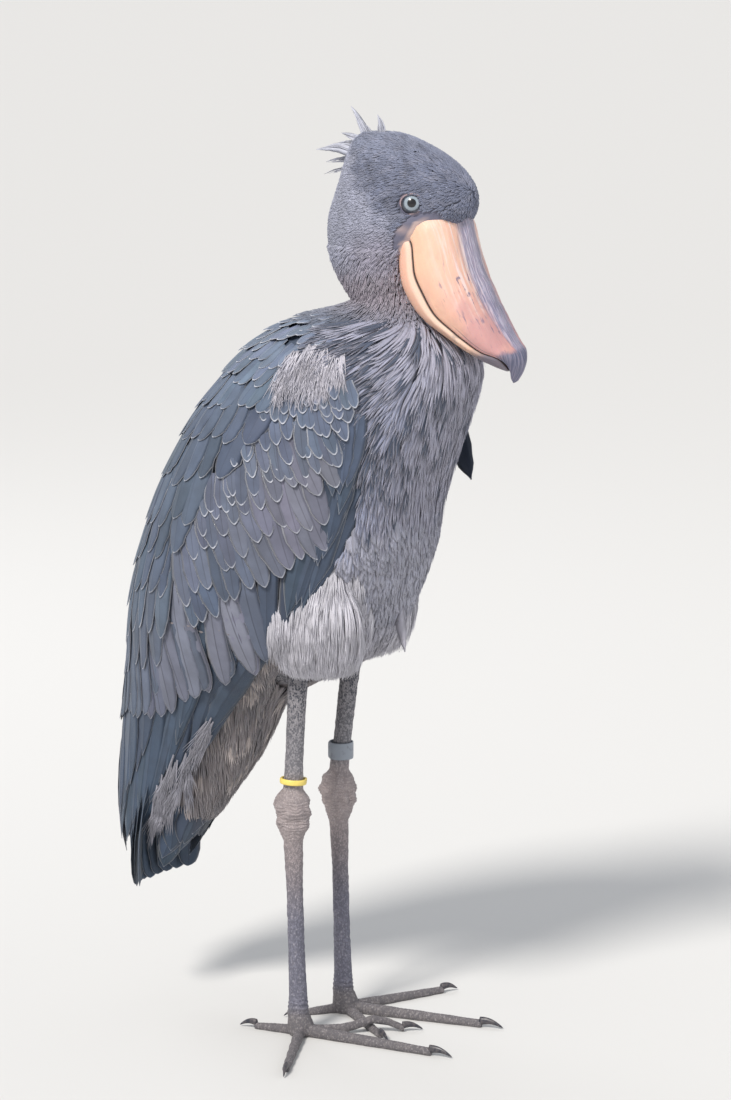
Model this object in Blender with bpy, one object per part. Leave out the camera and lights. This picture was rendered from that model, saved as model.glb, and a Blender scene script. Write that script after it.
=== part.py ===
"""Life-size standing shoebill. Metres, +Z up, the bill points to -Y and +X is the bird's left side.

The body is described by horizontal slices. In the tables "front" is the distance towards the bill, so
y = -front. The design frame has its origin on the floor between the feet, and the finished model is
moved so that its origin is at the bottom centre of its bounding box.
"""

import math

import bmesh
import bpy
import numpy as np
from mathutils import Matrix, Vector

# Driving dimensions
GAP = 0.0003
CUT_GAP = 0.0004
CREST_GAP = 0.0006
WING_GAP = 0.0005
LEAST_SLICE = 0.004
FOOT_X = {"right": -0.052, "left": 0.047}
LEG_X = 0.050
ANKLE_Z = 0.251
ANKLE_FRONT = -0.007
SHIN_TOP_Z = 0.430
SHIN_BOTTOM_Z = 0.281
SHIN_TOP_FRONT = {"right": 0.001, "left": 0.012}
EYE_RADIUS = 0.0135
EYE_X = 0.0405
EYE_FRONT = 0.1365
EYE_Z = 0.9335
CUT_HEAD_NECK = 0.862
CUT_NECK_TRUNK = 0.800
WING_THICKNESS = 0.014
WING_PROUD = 0.002
TAIL_ARCH = 0.45
BODY_SIDES = 18
WING_SIDES = 14
TAIL_SIDES = 12
THIGH_SIDES = 14
LEG_SIDES = 12
CLAW_SIDES = 6
PLUME_SIDES = 5

# Height, front edge, back edge and half-width of the plumage, wings included, from crown to tail
BODY_SLICES = (
    (1.0050, 0.082, 0.062, 0.008),
    (1.0000, 0.104, 0.052, 0.022),
    (0.9920, 0.127, 0.044, 0.034),
    (0.9750, 0.160, 0.037, 0.0465),
    (0.9550, 0.182, 0.031, 0.0545),
    (0.9350, 0.190, 0.024, 0.0575),
    (0.9150, 0.184, 0.017, 0.0580),
    (0.8950, 0.168, 0.015, 0.0565),
    (0.8750, 0.150, 0.017, 0.0535),
    (0.8550, 0.137, 0.025, 0.0500),
    (0.8350, 0.129, 0.038, 0.0460),
    (0.8200, 0.130, 0.044, 0.0450),
    (0.8080, 0.140, 0.012, 0.0580),
    (0.7980, 0.157, -0.028, 0.0740),
    (0.7850, 0.174, -0.054, 0.0900),
    (0.7600, 0.190, -0.085, 0.1090),
    (0.7300, 0.184, -0.108, 0.1230),
    (0.7000, 0.172, -0.130, 0.1320),
    (0.6500, 0.151, -0.159, 0.1390),
    (0.6000, 0.134, -0.184, 0.1410),
    (0.5500, 0.125, -0.203, 0.1390),
    (0.5000, 0.107, -0.220, 0.1340),
    (0.4600, 0.086, -0.229, 0.1250),
    (0.4400, 0.071, -0.232, 0.1170),
    (0.4200, 0.044, -0.235, 0.1080),
    (0.4000, 0.002, -0.238, 0.0980),
    (0.3700, -0.046, -0.244, 0.0870),
    (0.3400, -0.062, -0.251, 0.0770),
    (0.3000, -0.083, -0.258, 0.0650),
    (0.2600, -0.113, -0.264, 0.0540),
    (0.2200, -0.141, -0.265, 0.0460),
    (0.1900, -0.160, -0.263, 0.0400),
    (0.1600, -0.182, -0.254, 0.0330),
)
BODY_SQUARENESS = ((1.01, 2.0), (0.82, 2.0), (0.70, 2.25), (0.45, 2.25), (0.15, 2.0))

# Height, back edge and half-width of the trunk alone below the wings, where the wings stand clear
UNDERTAIL_SLICES = (
    (0.4600, -0.229, 0.115),
    (0.4200, -0.232, 0.090),
    (0.4000, -0.234, 0.076),
    (0.3700, -0.236, 0.064),
    (0.3400, -0.236, 0.056),
    (0.3000, -0.234, 0.048),
    (0.2600, -0.230, 0.042),
    (0.2200, -0.226, 0.034),
    (0.1950, -0.220, 0.024),
)

# Height, front edge of the folded wing and how far its rear edge stays from the midline
WING_EDGES = (
    (0.7560, 0.060, 0.098),
    (0.7400, 0.084, 0.078),
    (0.7200, 0.100, 0.056),
    (0.7000, 0.112, 0.040),
    (0.6800, 0.119, 0.028),
    (0.6560, 0.116, 0.017),
    (0.6260, 0.104, 0.009),
    (0.5930, 0.091, 0.005),
    (0.5530, 0.073, 0.004),
    (0.5190, 0.054, 0.004),
    (0.4890, 0.036, 0.004),
    (0.4550, 0.026, 0.005),
    (0.4320, 0.008, 0.006),
    (0.4150, -0.020, 0.007),
    (0.3980, -0.048, 0.008),
    (0.3710, -0.088, 0.010),
    (0.3300, -0.110, 0.013),
    (0.2900, -0.134, 0.016),
    (0.2500, -0.166, 0.019),
    (0.2100, -0.200, 0.021),
    (0.1800, -0.226, 0.022),
    (0.1580, -0.240, 0.022),
)

# Height and the share of the full thickness that the folded wing has there
WING_THINNING = ((0.15, 0.28), (0.20, 0.45), (0.30, 0.7), (0.45, 1.0), (0.68, 1.0), (0.76, 0.5))

# The pointed quill that stands forward from the bend of the left wing: root, tip, widest half-width,
# half-thickness and the direction of its width
WRIST_ROOT = Vector((0.124, -0.088, 0.690))
WRIST_TIP = Vector((0.121, -0.123, 0.610))
WRIST_HALF_WIDTH = 0.0160
WRIST_HALF_THICKNESS = 0.0024
WRIST_ACROSS = Vector((0, -0.90, 0.40))
QUILL_EDGE = 0.0008
WRIST_SIDES = 8

# The tail's centre line, half-width and half-thickness from root to tip
TAIL_STATIONS = (
    (-0.196, 0.360, 0.022, 0.007),
    (-0.213, 0.310, 0.036, 0.007),
    (-0.227, 0.260, 0.047, 0.0065),
    (-0.236, 0.210, 0.056, 0.005),
    (-0.238, 0.170, 0.061, 0.004),
    (-0.2370, 0.145, 0.058, 0.003),
    (-0.2360, 0.131, 0.048, 0.002),
)

# The bill in its own frame: distance along the bill, height of the ridge, of the cutting edge and of
# the lower jaw's underside above the bill's axis, and the half-width
BILL_FRONT = 0.146
BILL_Z = 0.896
BILL_SLOPE = math.radians(-58.2)
BILL_STATIONS = (
    (-0.0160, 0.0430, -0.0110, -0.0340, 0.0455),
    (0.0000, 0.0415, -0.0085, -0.0420, 0.0480),
    (0.0150, 0.0380, -0.0145, -0.0480, 0.0494),
    (0.0300, 0.0338, -0.0210, -0.0530, 0.0500),
    (0.0520, 0.0284, -0.0235, -0.0540, 0.0493),
    (0.0780, 0.0254, -0.0235, -0.0475, 0.0472),
    (0.1000, 0.0234, -0.0165, -0.0365, 0.0440),
    (0.1200, 0.0230, -0.0090, -0.0265, 0.0398),
    (0.1370, 0.0232, -0.0015, -0.0175, 0.0338),
    (0.1500, 0.0240, 0.0085, -0.0100, 0.0265),
)
BILL_HOOK = (
    (0.1580, 0.0240, 0.0095, 0.0190),
    (0.1660, 0.0205, 0.0065, 0.0120),
    (0.1730, 0.0130, 0.0010, 0.0065),
    (0.1775, 0.0045, -0.0010, 0.0025),
)
LOWER_JAW_TIP = (
    (0.1580, 0.0075, -0.0050, 0.0180),
    (0.1640, 0.0050, -0.0010, 0.0090),
)

# Height, x, front, half-depth and half-width of the feathered right thigh, and how far the left
# one, which stands further back, is moved from its mirror image
THIGH_SLICES = (
    (0.5400, -0.086, 0.054, 0.018, 0.012),
    (0.5200, -0.087, 0.053, 0.034, 0.022),
    (0.4950, -0.084, 0.050, 0.044, 0.029),
    (0.4700, -0.077, 0.045, 0.049, 0.034),
    (0.4500, -0.070, 0.038, 0.048, 0.035),
    (0.4350, -0.064, 0.031, 0.043, 0.032),
    (0.4240, -0.058, 0.024, 0.034, 0.025),
    (0.4160, -0.054, 0.016, 0.022, 0.017),
)
LEFT_THIGH_SHIFT = Vector((-0.010, 0.016, 0))

# The bare shin: height, half-depth and half-width
SHIN_STATIONS = (
    (SHIN_TOP_Z, 0.0125, 0.0118),
    (0.3800, 0.0106, 0.0100),
    (0.3200, 0.0100, 0.0094),
    (SHIN_BOTTOM_Z, 0.0112, 0.0104),
)

# The ankle: height above its middle, how far the section lies behind its line, half-depth, half-width
ANKLE_STATIONS = (
    (SHIN_BOTTOM_Z - GAP - ANKLE_Z, 0.000, 0.0112, 0.0104),
    (0.021, 0.001, 0.0185, 0.0165),
    (0.008, 0.001, 0.0210, 0.0180),
    (-0.006, 0.000, 0.0195, 0.0170),
    (-0.018, 0.000, 0.0150, 0.0135),
    (-0.028, 0.000, 0.0112, 0.0104),
)

# The tarsus: height, share of the way from the ankle's place to the foot's, half-depth, half-width
TARSUS_STATIONS = (
    (ANKLE_Z - 0.028 - GAP, 0.0, 0.0112, 0.0104),
    (0.1700, 0.3, 0.0092, 0.0086),
    (0.0900, 0.7, 0.0094, 0.0088),
    (0.0450, 1.0, 0.0104, 0.0098),
    (0.0240, 1.0, 0.0122, 0.0118),
)

# The hub from which the toes grow: height, front, half-depth, half-width
HUB_STATIONS = (
    (0.0240 - GAP, 0.001, 0.0122, 0.0118),
    (0.0140, 0.003, 0.0146, 0.0142),
    (0.0050, 0.003, 0.0146, 0.0142),
    (0.0000, 0.003, 0.0122, 0.0118),
)
HUB_FRONT = 0.003

# Toe name, heading in degrees from straight ahead (+ is towards the bird's left), length, root width
TOES = {
    "right": (
        ("outer", -66.0, 0.132, 0.0062),
        ("middle", 3.0, 0.162, 0.0068),
        ("inner", 36.0, 0.116, 0.0060),
        ("hind", -174.0, 0.056, 0.0056),
    ),
    "left": (
        ("inner", -38.0, 0.107, 0.0060),
        ("middle", 9.0, 0.164, 0.0068),
        ("outer", 62.0, 0.132, 0.0062),
        ("hind", -132.0, 0.054, 0.0056),
    ),
}
TOE_START = 0.010
TOE_TAPER = 0.36
TOE_SWELL = 0.10
# A toe's section: across in half-widths and up in heights
TOE_SECTION = (
    (-0.62, 0), (0.62, 0), (1.0, 0.36), (0.86, 0.74), (0.42, 1.0), (-0.42, 1.0), (-0.86, 0.74), (-1.0, 0.36),
)
CLAW_LENGTHS = {"outer": 0.020, "middle": 0.025, "inner": 0.021, "hind": 0.019}
TOE_JOINTS = {"outer": 5, "middle": 4, "inner": 3, "hind": 2}
CROSSING_LIFT = 0.0115
CROSSING_SHARE = 0.70
CROSSING_SPREAD = 0.22

# Leg rings: name, side, height, inner radius, wall, length, tilt
LEG_RINGS = (
    ("ring_yellow", "right", 0.2900, 0.0122, 0.0045, 0.0065, math.radians(4)),
    ("band_grey", "left", 0.3045, 0.0122, 0.0028, 0.0200, 0.0),
)
RING_TILT_AXIS = (0.5, 0.85, 0)
RING_STEPS = 16
RING_PROFILE_SIDES = 6

# The crest's root pad, then its plumes: base front and height, tip front and height, sideways
# offset, half-width
CREST_PAD_CENTRE = Vector((0, -0.058, 0.978))
CREST_PAD_RADII = Vector((0.018, 0.024, 0.017))
PLUME_STATIONS = (0.0, 0.4, 0.8, 1.0)
PLUME_BOW = 0.004
CREST_PLUMES = (
    (0.066, 0.990, 0.041, 1.030, -0.004, 0.0060),
    (0.070, 0.992, 0.069, 1.021, 0.004, 0.0050),
    (0.050, 0.985, 0.001, 0.982, -0.010, 0.0060),
    (0.052, 0.984, 0.010, 0.986, 0.010, 0.0060),
    (0.056, 0.986, 0.020, 1.000, 0.001, 0.0055),
    (0.044, 0.972, 0.004, 0.966, 0.002, 0.0060),
)

COLOURS = {
    "plumage": (0.33, 0.35, 0.40),
    "breast": (0.36, 0.34, 0.38),
    "wing": (0.12, 0.15, 0.19),
    "tail": (0.05, 0.07, 0.09),
    "thigh": (0.55, 0.50, 0.48),
    "crest": (0.55, 0.57, 0.62),
    "bill": (0.72, 0.42, 0.34),
    "eye": (0.45, 0.52, 0.56),
    "leg": (0.28, 0.24, 0.24),
    "claw": (0.03, 0.035, 0.05),
    "ring_yellow": (0.85, 0.50, 0.03),
    "band_grey": (0.32, 0.34, 0.37),
}
ROUGHNESS = {"bill": 0.45, "eye": 0.05, "claw": 0.35, "ring_yellow": 0.35, "band_grey": 0.4}


def clear_scene():
    for obj in list(bpy.data.objects):
        bpy.data.objects.remove(obj, do_unlink=True)


def make_collection(name):
    collection = bpy.data.collections.new(name)
    bpy.context.scene.collection.children.link(collection)
    return collection


def make_material(slot):
    material = bpy.data.materials.new(slot)
    material.use_nodes = True
    shader = material.node_tree.nodes["Principled BSDF"]
    shader.inputs["Base Color"].default_value = (*COLOURS[slot], 1.0)
    shader.inputs["Roughness"].default_value = ROUGHNESS.get(slot, 0.75)
    shader.inputs["Metallic"].default_value = 0.0
    return material


def smooth_table(table, at):
    """Values of every column of a table at the given positions of its first column, along smooth curves."""
    rows = np.array(sorted(table), float)
    knots = rows[:, 0]
    values = rows[:, 1:]
    steps = np.diff(knots)[:, None]
    slopes = np.diff(values, axis=0) / steps
    tangents = np.vstack([slopes[:1], (slopes[1:] + slopes[:-1]) / 2, slopes[-1:]])
    at = np.clip(np.atleast_1d(np.asarray(at, float)), knots[0], knots[-1])
    index = np.clip(np.searchsorted(knots, at, side="right") - 1, 0, len(knots) - 2)
    width = steps[index]
    t = ((at - knots[index])[:, None]) / width
    start = (2 * t**3 - 3 * t**2 + 1) * values[index]
    start_turn = (t**3 - 2 * t**2 + t) * width * tangents[index]
    end = (-2 * t**3 + 3 * t**2) * values[index + 1]
    end_turn = (t**3 - t**2) * width * tangents[index + 1]
    return start + start_turn + end + end_turn


def oval(angles, squareness):
    """Unit oval: cosine and sine made squarer by the exponent."""
    power = 2.0 / squareness
    along = np.sign(np.cos(angles)) * np.abs(np.cos(angles)) ** power
    across = np.sign(np.sin(angles)) * np.abs(np.sin(angles)) ** power
    return along, across


def slice_of(height):
    """Centre, half-depth, half-width and squareness of the whole plumage at a height."""
    front, back, half_width = smooth_table(BODY_SLICES, height)[0]
    squareness = smooth_table(BODY_SQUARENESS, height)[0, 0]
    return (front + back) / 2, (front - back) / 2, half_width, squareness


def body_ring(height, angles, proud=0.0):
    """The plumage's outline at a height. Angle 0 is the front, and 90 degrees is the bird's left."""
    centre, depth, width, squareness = slice_of(height)
    along, across = oval(angles, squareness)
    y = -(centre + (depth + proud) * along)
    return np.stack([(width + proud) * across, y, np.full(len(angles), height)], axis=1)


def finished_object(name, slot, work, collection):
    """An object with the shape of a bmesh, which is freed. Its faces are triangles that point outwards."""
    bmesh.ops.recalc_face_normals(work, faces=work.faces)
    bmesh.ops.triangulate(work, faces=work.faces)
    mesh = bpy.data.meshes.new(name)
    work.to_mesh(mesh)
    work.free()
    mesh.shade_smooth()
    if slot:
        mesh.materials.append(bpy.data.materials.get(slot) or make_material(slot))
    obj = bpy.data.objects.new(name, mesh)
    collection.objects.link(obj)
    return obj


def loft(name, slot, rings, collection):
    """A closed solid through rings of equal point count, with flat ends."""
    work = bmesh.new()
    rows = [[work.verts.new(tuple(map(float, point))) for point in ring] for ring in rings]
    for low, high in zip(rows, rows[1:]):
        for side in range(len(low)):
            after = (side + 1) % len(low)
            work.faces.new((low[side], low[after], high[after], high[side]))
    work.faces.new(rows[0])
    work.faces.new(rows[-1])
    return finished_object(name, slot, work, collection)


def full_circle(count):
    return np.linspace(0, 2 * math.pi, count, endpoint=False)


def apply_modifiers(obj):
    graph = bpy.context.evaluated_depsgraph_get()
    done = bpy.data.meshes.new_from_object(obj.evaluated_get(graph))
    obj.modifiers.clear()
    obj.data = done
    work = bmesh.new()
    work.from_mesh(done)
    bmesh.ops.triangulate(work, faces=work.faces)
    work.to_mesh(done)
    work.free()


def inflated(obj, amount, collection):
    """A hidden copy whose surface stands out by the amount, for cutting a neighbour with a gap."""
    copy = obj.copy()
    copy.data = obj.data.copy()
    copy.name = "cutter_" + obj.name
    work = bmesh.new()
    work.from_mesh(copy.data)
    work.normal_update()
    shifts = [vertex.normal * amount * min(vertex.calc_shell_factor(), 3.0) for vertex in work.verts]
    for vertex, shift in zip(work.verts, shifts):
        vertex.co += shift
    work.to_mesh(copy.data)
    work.free()
    copy.hide_render = True
    copy.display_type = "WIRE"
    collection.objects.link(copy)
    return copy


def combine(obj, other, operation):
    modifier = obj.modifiers.new(operation.lower(), "BOOLEAN")
    modifier.operation = operation
    modifier.object = other
    modifier.solver = "EXACT"
    apply_modifiers(obj)
    bpy.data.objects.remove(other, do_unlink=True)


def cut_clear(obj, neighbours, cutters):
    """Cuts the neighbours, a little inflated, out of an object."""
    for neighbour in neighbours:
        combine(obj, inflated(neighbour, CUT_GAP, cutters), "DIFFERENCE")
    keep_largest(obj)


def keep_largest(obj):
    """Removes crumbs that a cut leaves beside the main solid."""
    work = bmesh.new()
    work.from_mesh(obj.data)
    bmesh.ops.remove_doubles(work, verts=work.verts, dist=0.000001)
    groups = []
    seen = set()
    for vertex in work.verts:
        if vertex in seen:
            continue
        group = [vertex]
        seen.add(vertex)
        for member in group:
            for edge in member.link_edges:
                other = edge.other_vert(member)
                if other not in seen:
                    seen.add(other)
                    group.append(other)
        groups.append(group)
    groups.sort(key=len)
    for group in groups[:-1]:
        bmesh.ops.delete(work, geom=group, context="VERTS")
    work.to_mesh(obj.data)
    work.free()


def mirrored(obj, name, collection):
    copy = obj.copy()
    copy.data = obj.data.copy()
    copy.name = name
    copy.data.transform(Matrix.Scale(-1, 4, (1, 0, 0)))
    copy.data.flip_normals()
    collection.objects.link(copy)
    return copy


def slice_heights(low, high):
    """Heights of the body's slices between two levels, the ends included."""
    inside = [row[0] for row in BODY_SLICES if low + LEAST_SLICE < row[0] < high - LEAST_SLICE]
    return sorted([low, *inside, high])


def make_body_parts(collection):
    """Head, neck and trunk: one outline parted by two thin level cuts."""
    angles = full_circle(BODY_SIDES)
    head_heights = slice_heights(CUT_HEAD_NECK + GAP / 2, BODY_SLICES[0][0])
    neck_heights = slice_heights(CUT_NECK_TRUNK + GAP / 2, CUT_HEAD_NECK - GAP / 2)
    head = loft("head", "plumage", [body_ring(z, angles) for z in head_heights], collection)
    neck = loft("neck", "plumage", [body_ring(z, angles) for z in neck_heights], collection)
    trunk = loft("trunk", "breast", trunk_rings(angles), collection)
    return head, neck, trunk


def trunk_rings(angles):
    rings = []
    for height in slice_heights(UNDERTAIL_SLICES[-1][0], CUT_NECK_TRUNK - GAP / 2):
        centre, depth, width, squareness = slice_of(height)
        front, back = centre + depth, centre - depth
        if height < UNDERTAIL_SLICES[0][0]:
            back, width = smooth_table(UNDERTAIL_SLICES, height)[0]
        along, across = oval(angles, squareness)
        y = -((front + back) / 2 + (front - back) / 2 * along)
        rings.append(np.stack([width * across, y, np.full(len(angles), height)], axis=1))
    return rings


def angle_at_front(height, front):
    """The angle on the outline whose point has this front distance."""
    centre, depth, _, squareness = slice_of(height)
    share = np.clip((front - centre) / depth, -0.98, 0.98)
    return math.acos(math.copysign(abs(share) ** (squareness / 2.0), share))


def angle_at_midline(height, offset):
    """The angle on the back of the outline whose point lies this far from the midline."""
    _, _, width, squareness = slice_of(height)
    share = min(offset / width, 0.95)
    return math.pi - math.asin(share ** (squareness / 2.0))


def wing_ring(height, grow):
    """A crescent lying on the flank: outer points from the front edge to the rear edge, then inner ones."""
    front, offset = smooth_table(WING_EDGES, height)[0]
    turn = 2.0 * grow / slice_of(height)[2]
    start = angle_at_front(height, front) - turn
    end = angle_at_midline(height, offset) + turn
    half = WING_SIDES // 2
    share = np.linspace(0, 1, half)
    angles = start + (end - start) * share
    thickness = WING_THICKNESS * smooth_table(WING_THINNING, height)[0, 0]
    profile = np.sqrt(np.clip(np.sin(math.pi * np.clip(share, 0.03, 0.97)), 0, 1))
    outer = body_ring(height, angles, WING_PROUD + grow)
    inner = outer + inward(height, angles) * (thickness * profile + 2.5 * grow)[:, None]
    ring = np.concatenate([outer, inner[::-1]])
    ring[:, 0] *= -1
    return ring


def inward(height, angles):
    """Unit level vectors pointing into the body across the outline."""
    centre, depth, width, squareness = slice_of(height)
    along, across = oval(angles, squareness)
    normal = np.stack([-across / width, along / depth, np.zeros(len(angles))], axis=1)
    return normal / np.linalg.norm(normal, axis=1)[:, None]


def make_wing(name, collection, grow=0.0):
    rings = [wing_ring(row[0], grow) for row in WING_EDGES]
    rings[0][:, 2] += grow
    rings[-1][:, 2] -= grow
    return loft(name, "wing", rings, collection)


def make_wrist_feather(collection):
    rings = []
    angles = full_circle(WRIST_SIDES)
    for share in np.linspace(0, 1, 6):
        centre = WRIST_ROOT.lerp(WRIST_TIP, share)
        across = WRIST_ACROSS * (WRIST_HALF_WIDTH * math.sqrt(1 - share**2.2) + QUILL_EDGE)
        thick = Vector((WRIST_HALF_THICKNESS * (1 - share) + QUILL_EDGE, 0, 0))
        rings.append([centre + thick * math.sin(angle) + across * math.cos(angle) for angle in angles])
    return loft("wrist_feather", None, rings, collection)


def make_tail(collection):
    """A flat fan, arched across like a shallow roof."""
    rings = []
    centres = [Vector((0, -front, height)) for front, height, _, _ in TAIL_STATIONS]
    for index, (_, _, half_width, half_thick) in enumerate(TAIL_STATIONS):
        run = centres[min(index + 1, len(centres) - 1)] - centres[max(index - 1, 0)]
        out = Vector((0, -run.z, run.y)).normalized()
        ring = []
        for angle in full_circle(TAIL_SIDES):
            across = math.copysign(abs(math.cos(angle)) ** 0.6, math.cos(angle))
            rise = half_thick * math.sin(angle) - TAIL_ARCH * half_width * across**2
            ring.append(centres[index] + Vector((half_width * across, 0, 0)) + out * rise)
        rings.append(ring)
    return loft("tail", "tail", rings, collection)


def bill_point(along, height, sideways):
    """From the bill's own frame to the model's."""
    run = Vector((0, -math.cos(BILL_SLOPE), math.sin(BILL_SLOPE)))
    rise = Vector((0, math.sin(BILL_SLOPE), math.cos(BILL_SLOPE)))
    return Vector((sideways, -BILL_FRONT, BILL_Z)) + run * along + rise * height


def upper_bill_ring(along, ridge, edge, half_width):
    """Half the section from the keeled ridge down the flank to the cutting edge, and its mirror image."""
    depth = ridge - edge
    keel = min(0.0055, 0.22 * half_width)
    half = [
        (0.0, ridge),
        (keel, ridge - 0.02 * depth),
        (2.0 * keel, ridge - 0.11 * depth),
        (0.66 * half_width, ridge - 0.22 * depth),
        (0.90 * half_width, ridge - 0.42 * depth),
        (1.00 * half_width, ridge - 0.66 * depth),
        (0.985 * half_width, ridge - 0.86 * depth),
        (0.94 * half_width, edge),
    ]
    section = half + [(-x, y) for x, y in reversed(half[1:])]
    return [bill_point(along, height, x) for x, height in section]


def lower_bill_ring(along, edge, under, half_width):
    depth = edge - under
    half = [
        (0.93 * half_width, edge),
        (0.96 * half_width, edge - 0.30 * depth),
        (0.83 * half_width, edge - 0.68 * depth),
        (0.50 * half_width, edge - 0.92 * depth),
    ]
    section = half + [(0.0, under)] + [(-x, y) for x, y in reversed(half)]
    return [bill_point(along, height, x) for x, height in section]


def make_bill(collection):
    upper = [upper_bill_ring(s, ridge, edge, w) for s, ridge, edge, _, w in BILL_STATIONS]
    upper += [upper_bill_ring(s, ridge, edge, w) for s, ridge, edge, w in BILL_HOOK]
    lower = [lower_bill_ring(s, edge - GAP, under, w) for s, _, edge, under, w in BILL_STATIONS]
    lower += [lower_bill_ring(s, edge - GAP, under, w) for s, edge, under, w in LOWER_JAW_TIP]
    return (
        loft("bill_upper", "bill", upper, collection),
        loft("bill_lower", "bill", lower, collection),
    )


def make_eye(side, collection):
    work = bmesh.new()
    bmesh.ops.create_uvsphere(work, u_segments=12, v_segments=8, radius=EYE_RADIUS)
    place = Matrix.Translation((side * EYE_X, -EYE_FRONT, EYE_Z)) @ Matrix.Rotation(math.pi / 2, 4, "Y")
    bmesh.ops.transform(work, matrix=place, verts=work.verts)
    return finished_object("eye_left" if side > 0 else "eye_right", "eye", work, collection)


def make_crest(name, collection, grow=0.0):
    """Loose plumes at the back of the crown, rooted in one small pad."""
    pad = bmesh.new()
    bmesh.ops.create_uvsphere(pad, u_segments=10, v_segments=6, radius=1.0)
    size = Matrix.Diagonal((*(radius + grow for radius in CREST_PAD_RADII), 1))
    bmesh.ops.transform(pad, matrix=Matrix.Translation(CREST_PAD_CENTRE) @ size, verts=pad.verts)
    crest = finished_object(name, "crest", pad, collection)
    for front, height, tip_front, tip_height, sideways, width in CREST_PLUMES:
        base = (sideways * 0.5, -front, height)
        plume = make_plume(base, (sideways, -tip_front, tip_height), width, grow, collection)
        combine(crest, plume, "UNION")
    keep_largest(crest)
    return crest


def make_plume(base, tip, width, grow, collection):
    base, tip = Vector(base), Vector(tip)
    run = (tip - base).normalized()
    side = run.cross(Vector((1, 0, 0))).normalized()
    rings = []
    for share in PLUME_STATIONS:
        half = width * (1 - share**1.7) + GAP + grow
        thick = Vector((0.35 * half + GAP + grow, 0, 0))
        centre = base.lerp(tip, share) + side * PLUME_BOW * math.sin(math.pi * share)
        angles = full_circle(PLUME_SIDES)
        rings.append([centre + side * half * math.cos(angle) + thick * math.sin(angle) for angle in angles])
    return loft("plume", None, rings, collection)


def level_tube(name, slot, stations, sides, collection):
    """A limb through level slices: height, x, front, half-depth and half-width."""
    angles = full_circle(sides)
    rings = [
        np.stack([x + width * np.sin(angles), -(front + depth * np.cos(angles)), np.full(sides, z)], axis=1)
        for z, x, front, depth, width in stations
    ]
    return loft(name, slot, rings, collection)


def shin_front(top_front, height):
    """How far forward the middle of the bare shin is at a height."""
    share = (height - SHIN_BOTTOM_Z) / (SHIN_TOP_Z - SHIN_BOTTOM_Z)
    return ANKLE_FRONT + (top_front - ANKLE_FRONT) * share


def make_leg(side, name, top_front, collection):
    """Bare shin, ankle joint, long tarsus and the hub from which the toes grow."""
    x_foot = FOOT_X[name]
    x_ankle = side * LEG_X
    shin = [(z, x_ankle, shin_front(top_front, z), depth, width) for z, depth, width in SHIN_STATIONS]
    ankle = [
        (ANKLE_Z + rise, x_ankle, ANKLE_FRONT - behind, depth, width)
        for rise, behind, depth, width in ANKLE_STATIONS
    ]
    tarsus = [
        (z, x_ankle + (x_foot - x_ankle) * share, ANKLE_FRONT * (1 - share), depth, width)
        for z, share, depth, width in TARSUS_STATIONS
    ]
    hub = [(z, x_foot, front, depth, width) for z, front, depth, width in HUB_STATIONS]
    level_tube(f"ankle_{name}", "leg", ankle, LEG_SIDES, collection)
    level_tube(f"tarsus_{name}", "leg", tarsus, LEG_SIDES, collection)
    shin_obj = level_tube(f"shin_{name}", "leg", shin, LEG_SIDES, collection)
    hub_obj = level_tube(f"foot_{name}", "leg", hub, LEG_SIDES, collection)
    return shin_obj, hub_obj


def toe_direction(heading):
    """Unit vectors along a toe and across it."""
    angle = math.radians(heading)
    return Vector((math.sin(angle), -math.cos(angle), 0)), Vector((math.cos(angle), math.sin(angle), 0))


def toe_lift(share, lift):
    """Height of the sole where a toe climbs over a neighbour. It comes back to the floor at the tip."""
    bump = math.exp(-(((share - CROSSING_SHARE) / CROSSING_SPREAD) ** 2))
    return lift * bump * min(1.0, (1.0 - share) * 8)


def make_toe(name, toe, collection):
    """A toe with a flat sole, swollen at its joints, and its claw."""
    label, heading, length, half_width = toe
    root = Vector((FOOT_X[name], -HUB_FRONT, 0))
    forward, across = toe_direction(heading)
    joints = TOE_JOINTS[label]
    lift = CROSSING_LIFT if (name, label) == ("right", "inner") else 0.0
    rings = []
    for share in np.linspace(0, 1, 2 * joints + 1):
        centre = root + forward * (TOE_START + (length - TOE_START) * share)
        swell = 1.0 + TOE_SWELL * math.cos(2 * math.pi * joints * share)
        half = half_width * (1.0 - TOE_TAPER * share) * swell
        height = 1.75 * half_width * (1.06 - TOE_TAPER * share) * (0.94 + 0.06 * swell)
        base = toe_lift(share, lift)
        rings.append([centre + across * half * u + Vector((0, 0, base + height * v)) for u, v in TOE_SECTION])
    make_claw(f"claw_{name}_{label}", root, toe, collection)
    return loft(f"toe_{name}_{label}", "leg", rings, collection)


def make_claw(name, root, toe, collection):
    """A curved, pointed claw whose tip comes down towards the floor."""
    label, heading, length, toe_half_width = toe
    forward, across = toe_direction(heading)
    rings = []
    for share in (0.0, 0.25, 0.5, 0.75, 0.92, 1.0):
        half = 0.60 * toe_half_width * (1 - share) ** 0.7 + 0.0005
        rise = 0.0068 + 0.0022 * math.sin(math.pi * share) - 0.0046 * share**1.5
        centre = root + forward * (length + GAP + CLAW_LENGTHS[label] * share) + Vector((0, 0, rise))
        rings.append(
            [
                centre + across * 0.8 * half * math.sin(angle) + Vector((0, 0, half * math.cos(angle)))
                for angle in full_circle(CLAW_SIDES)
            ]
        )
    return loft(name, "claw", rings, collection)


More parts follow.
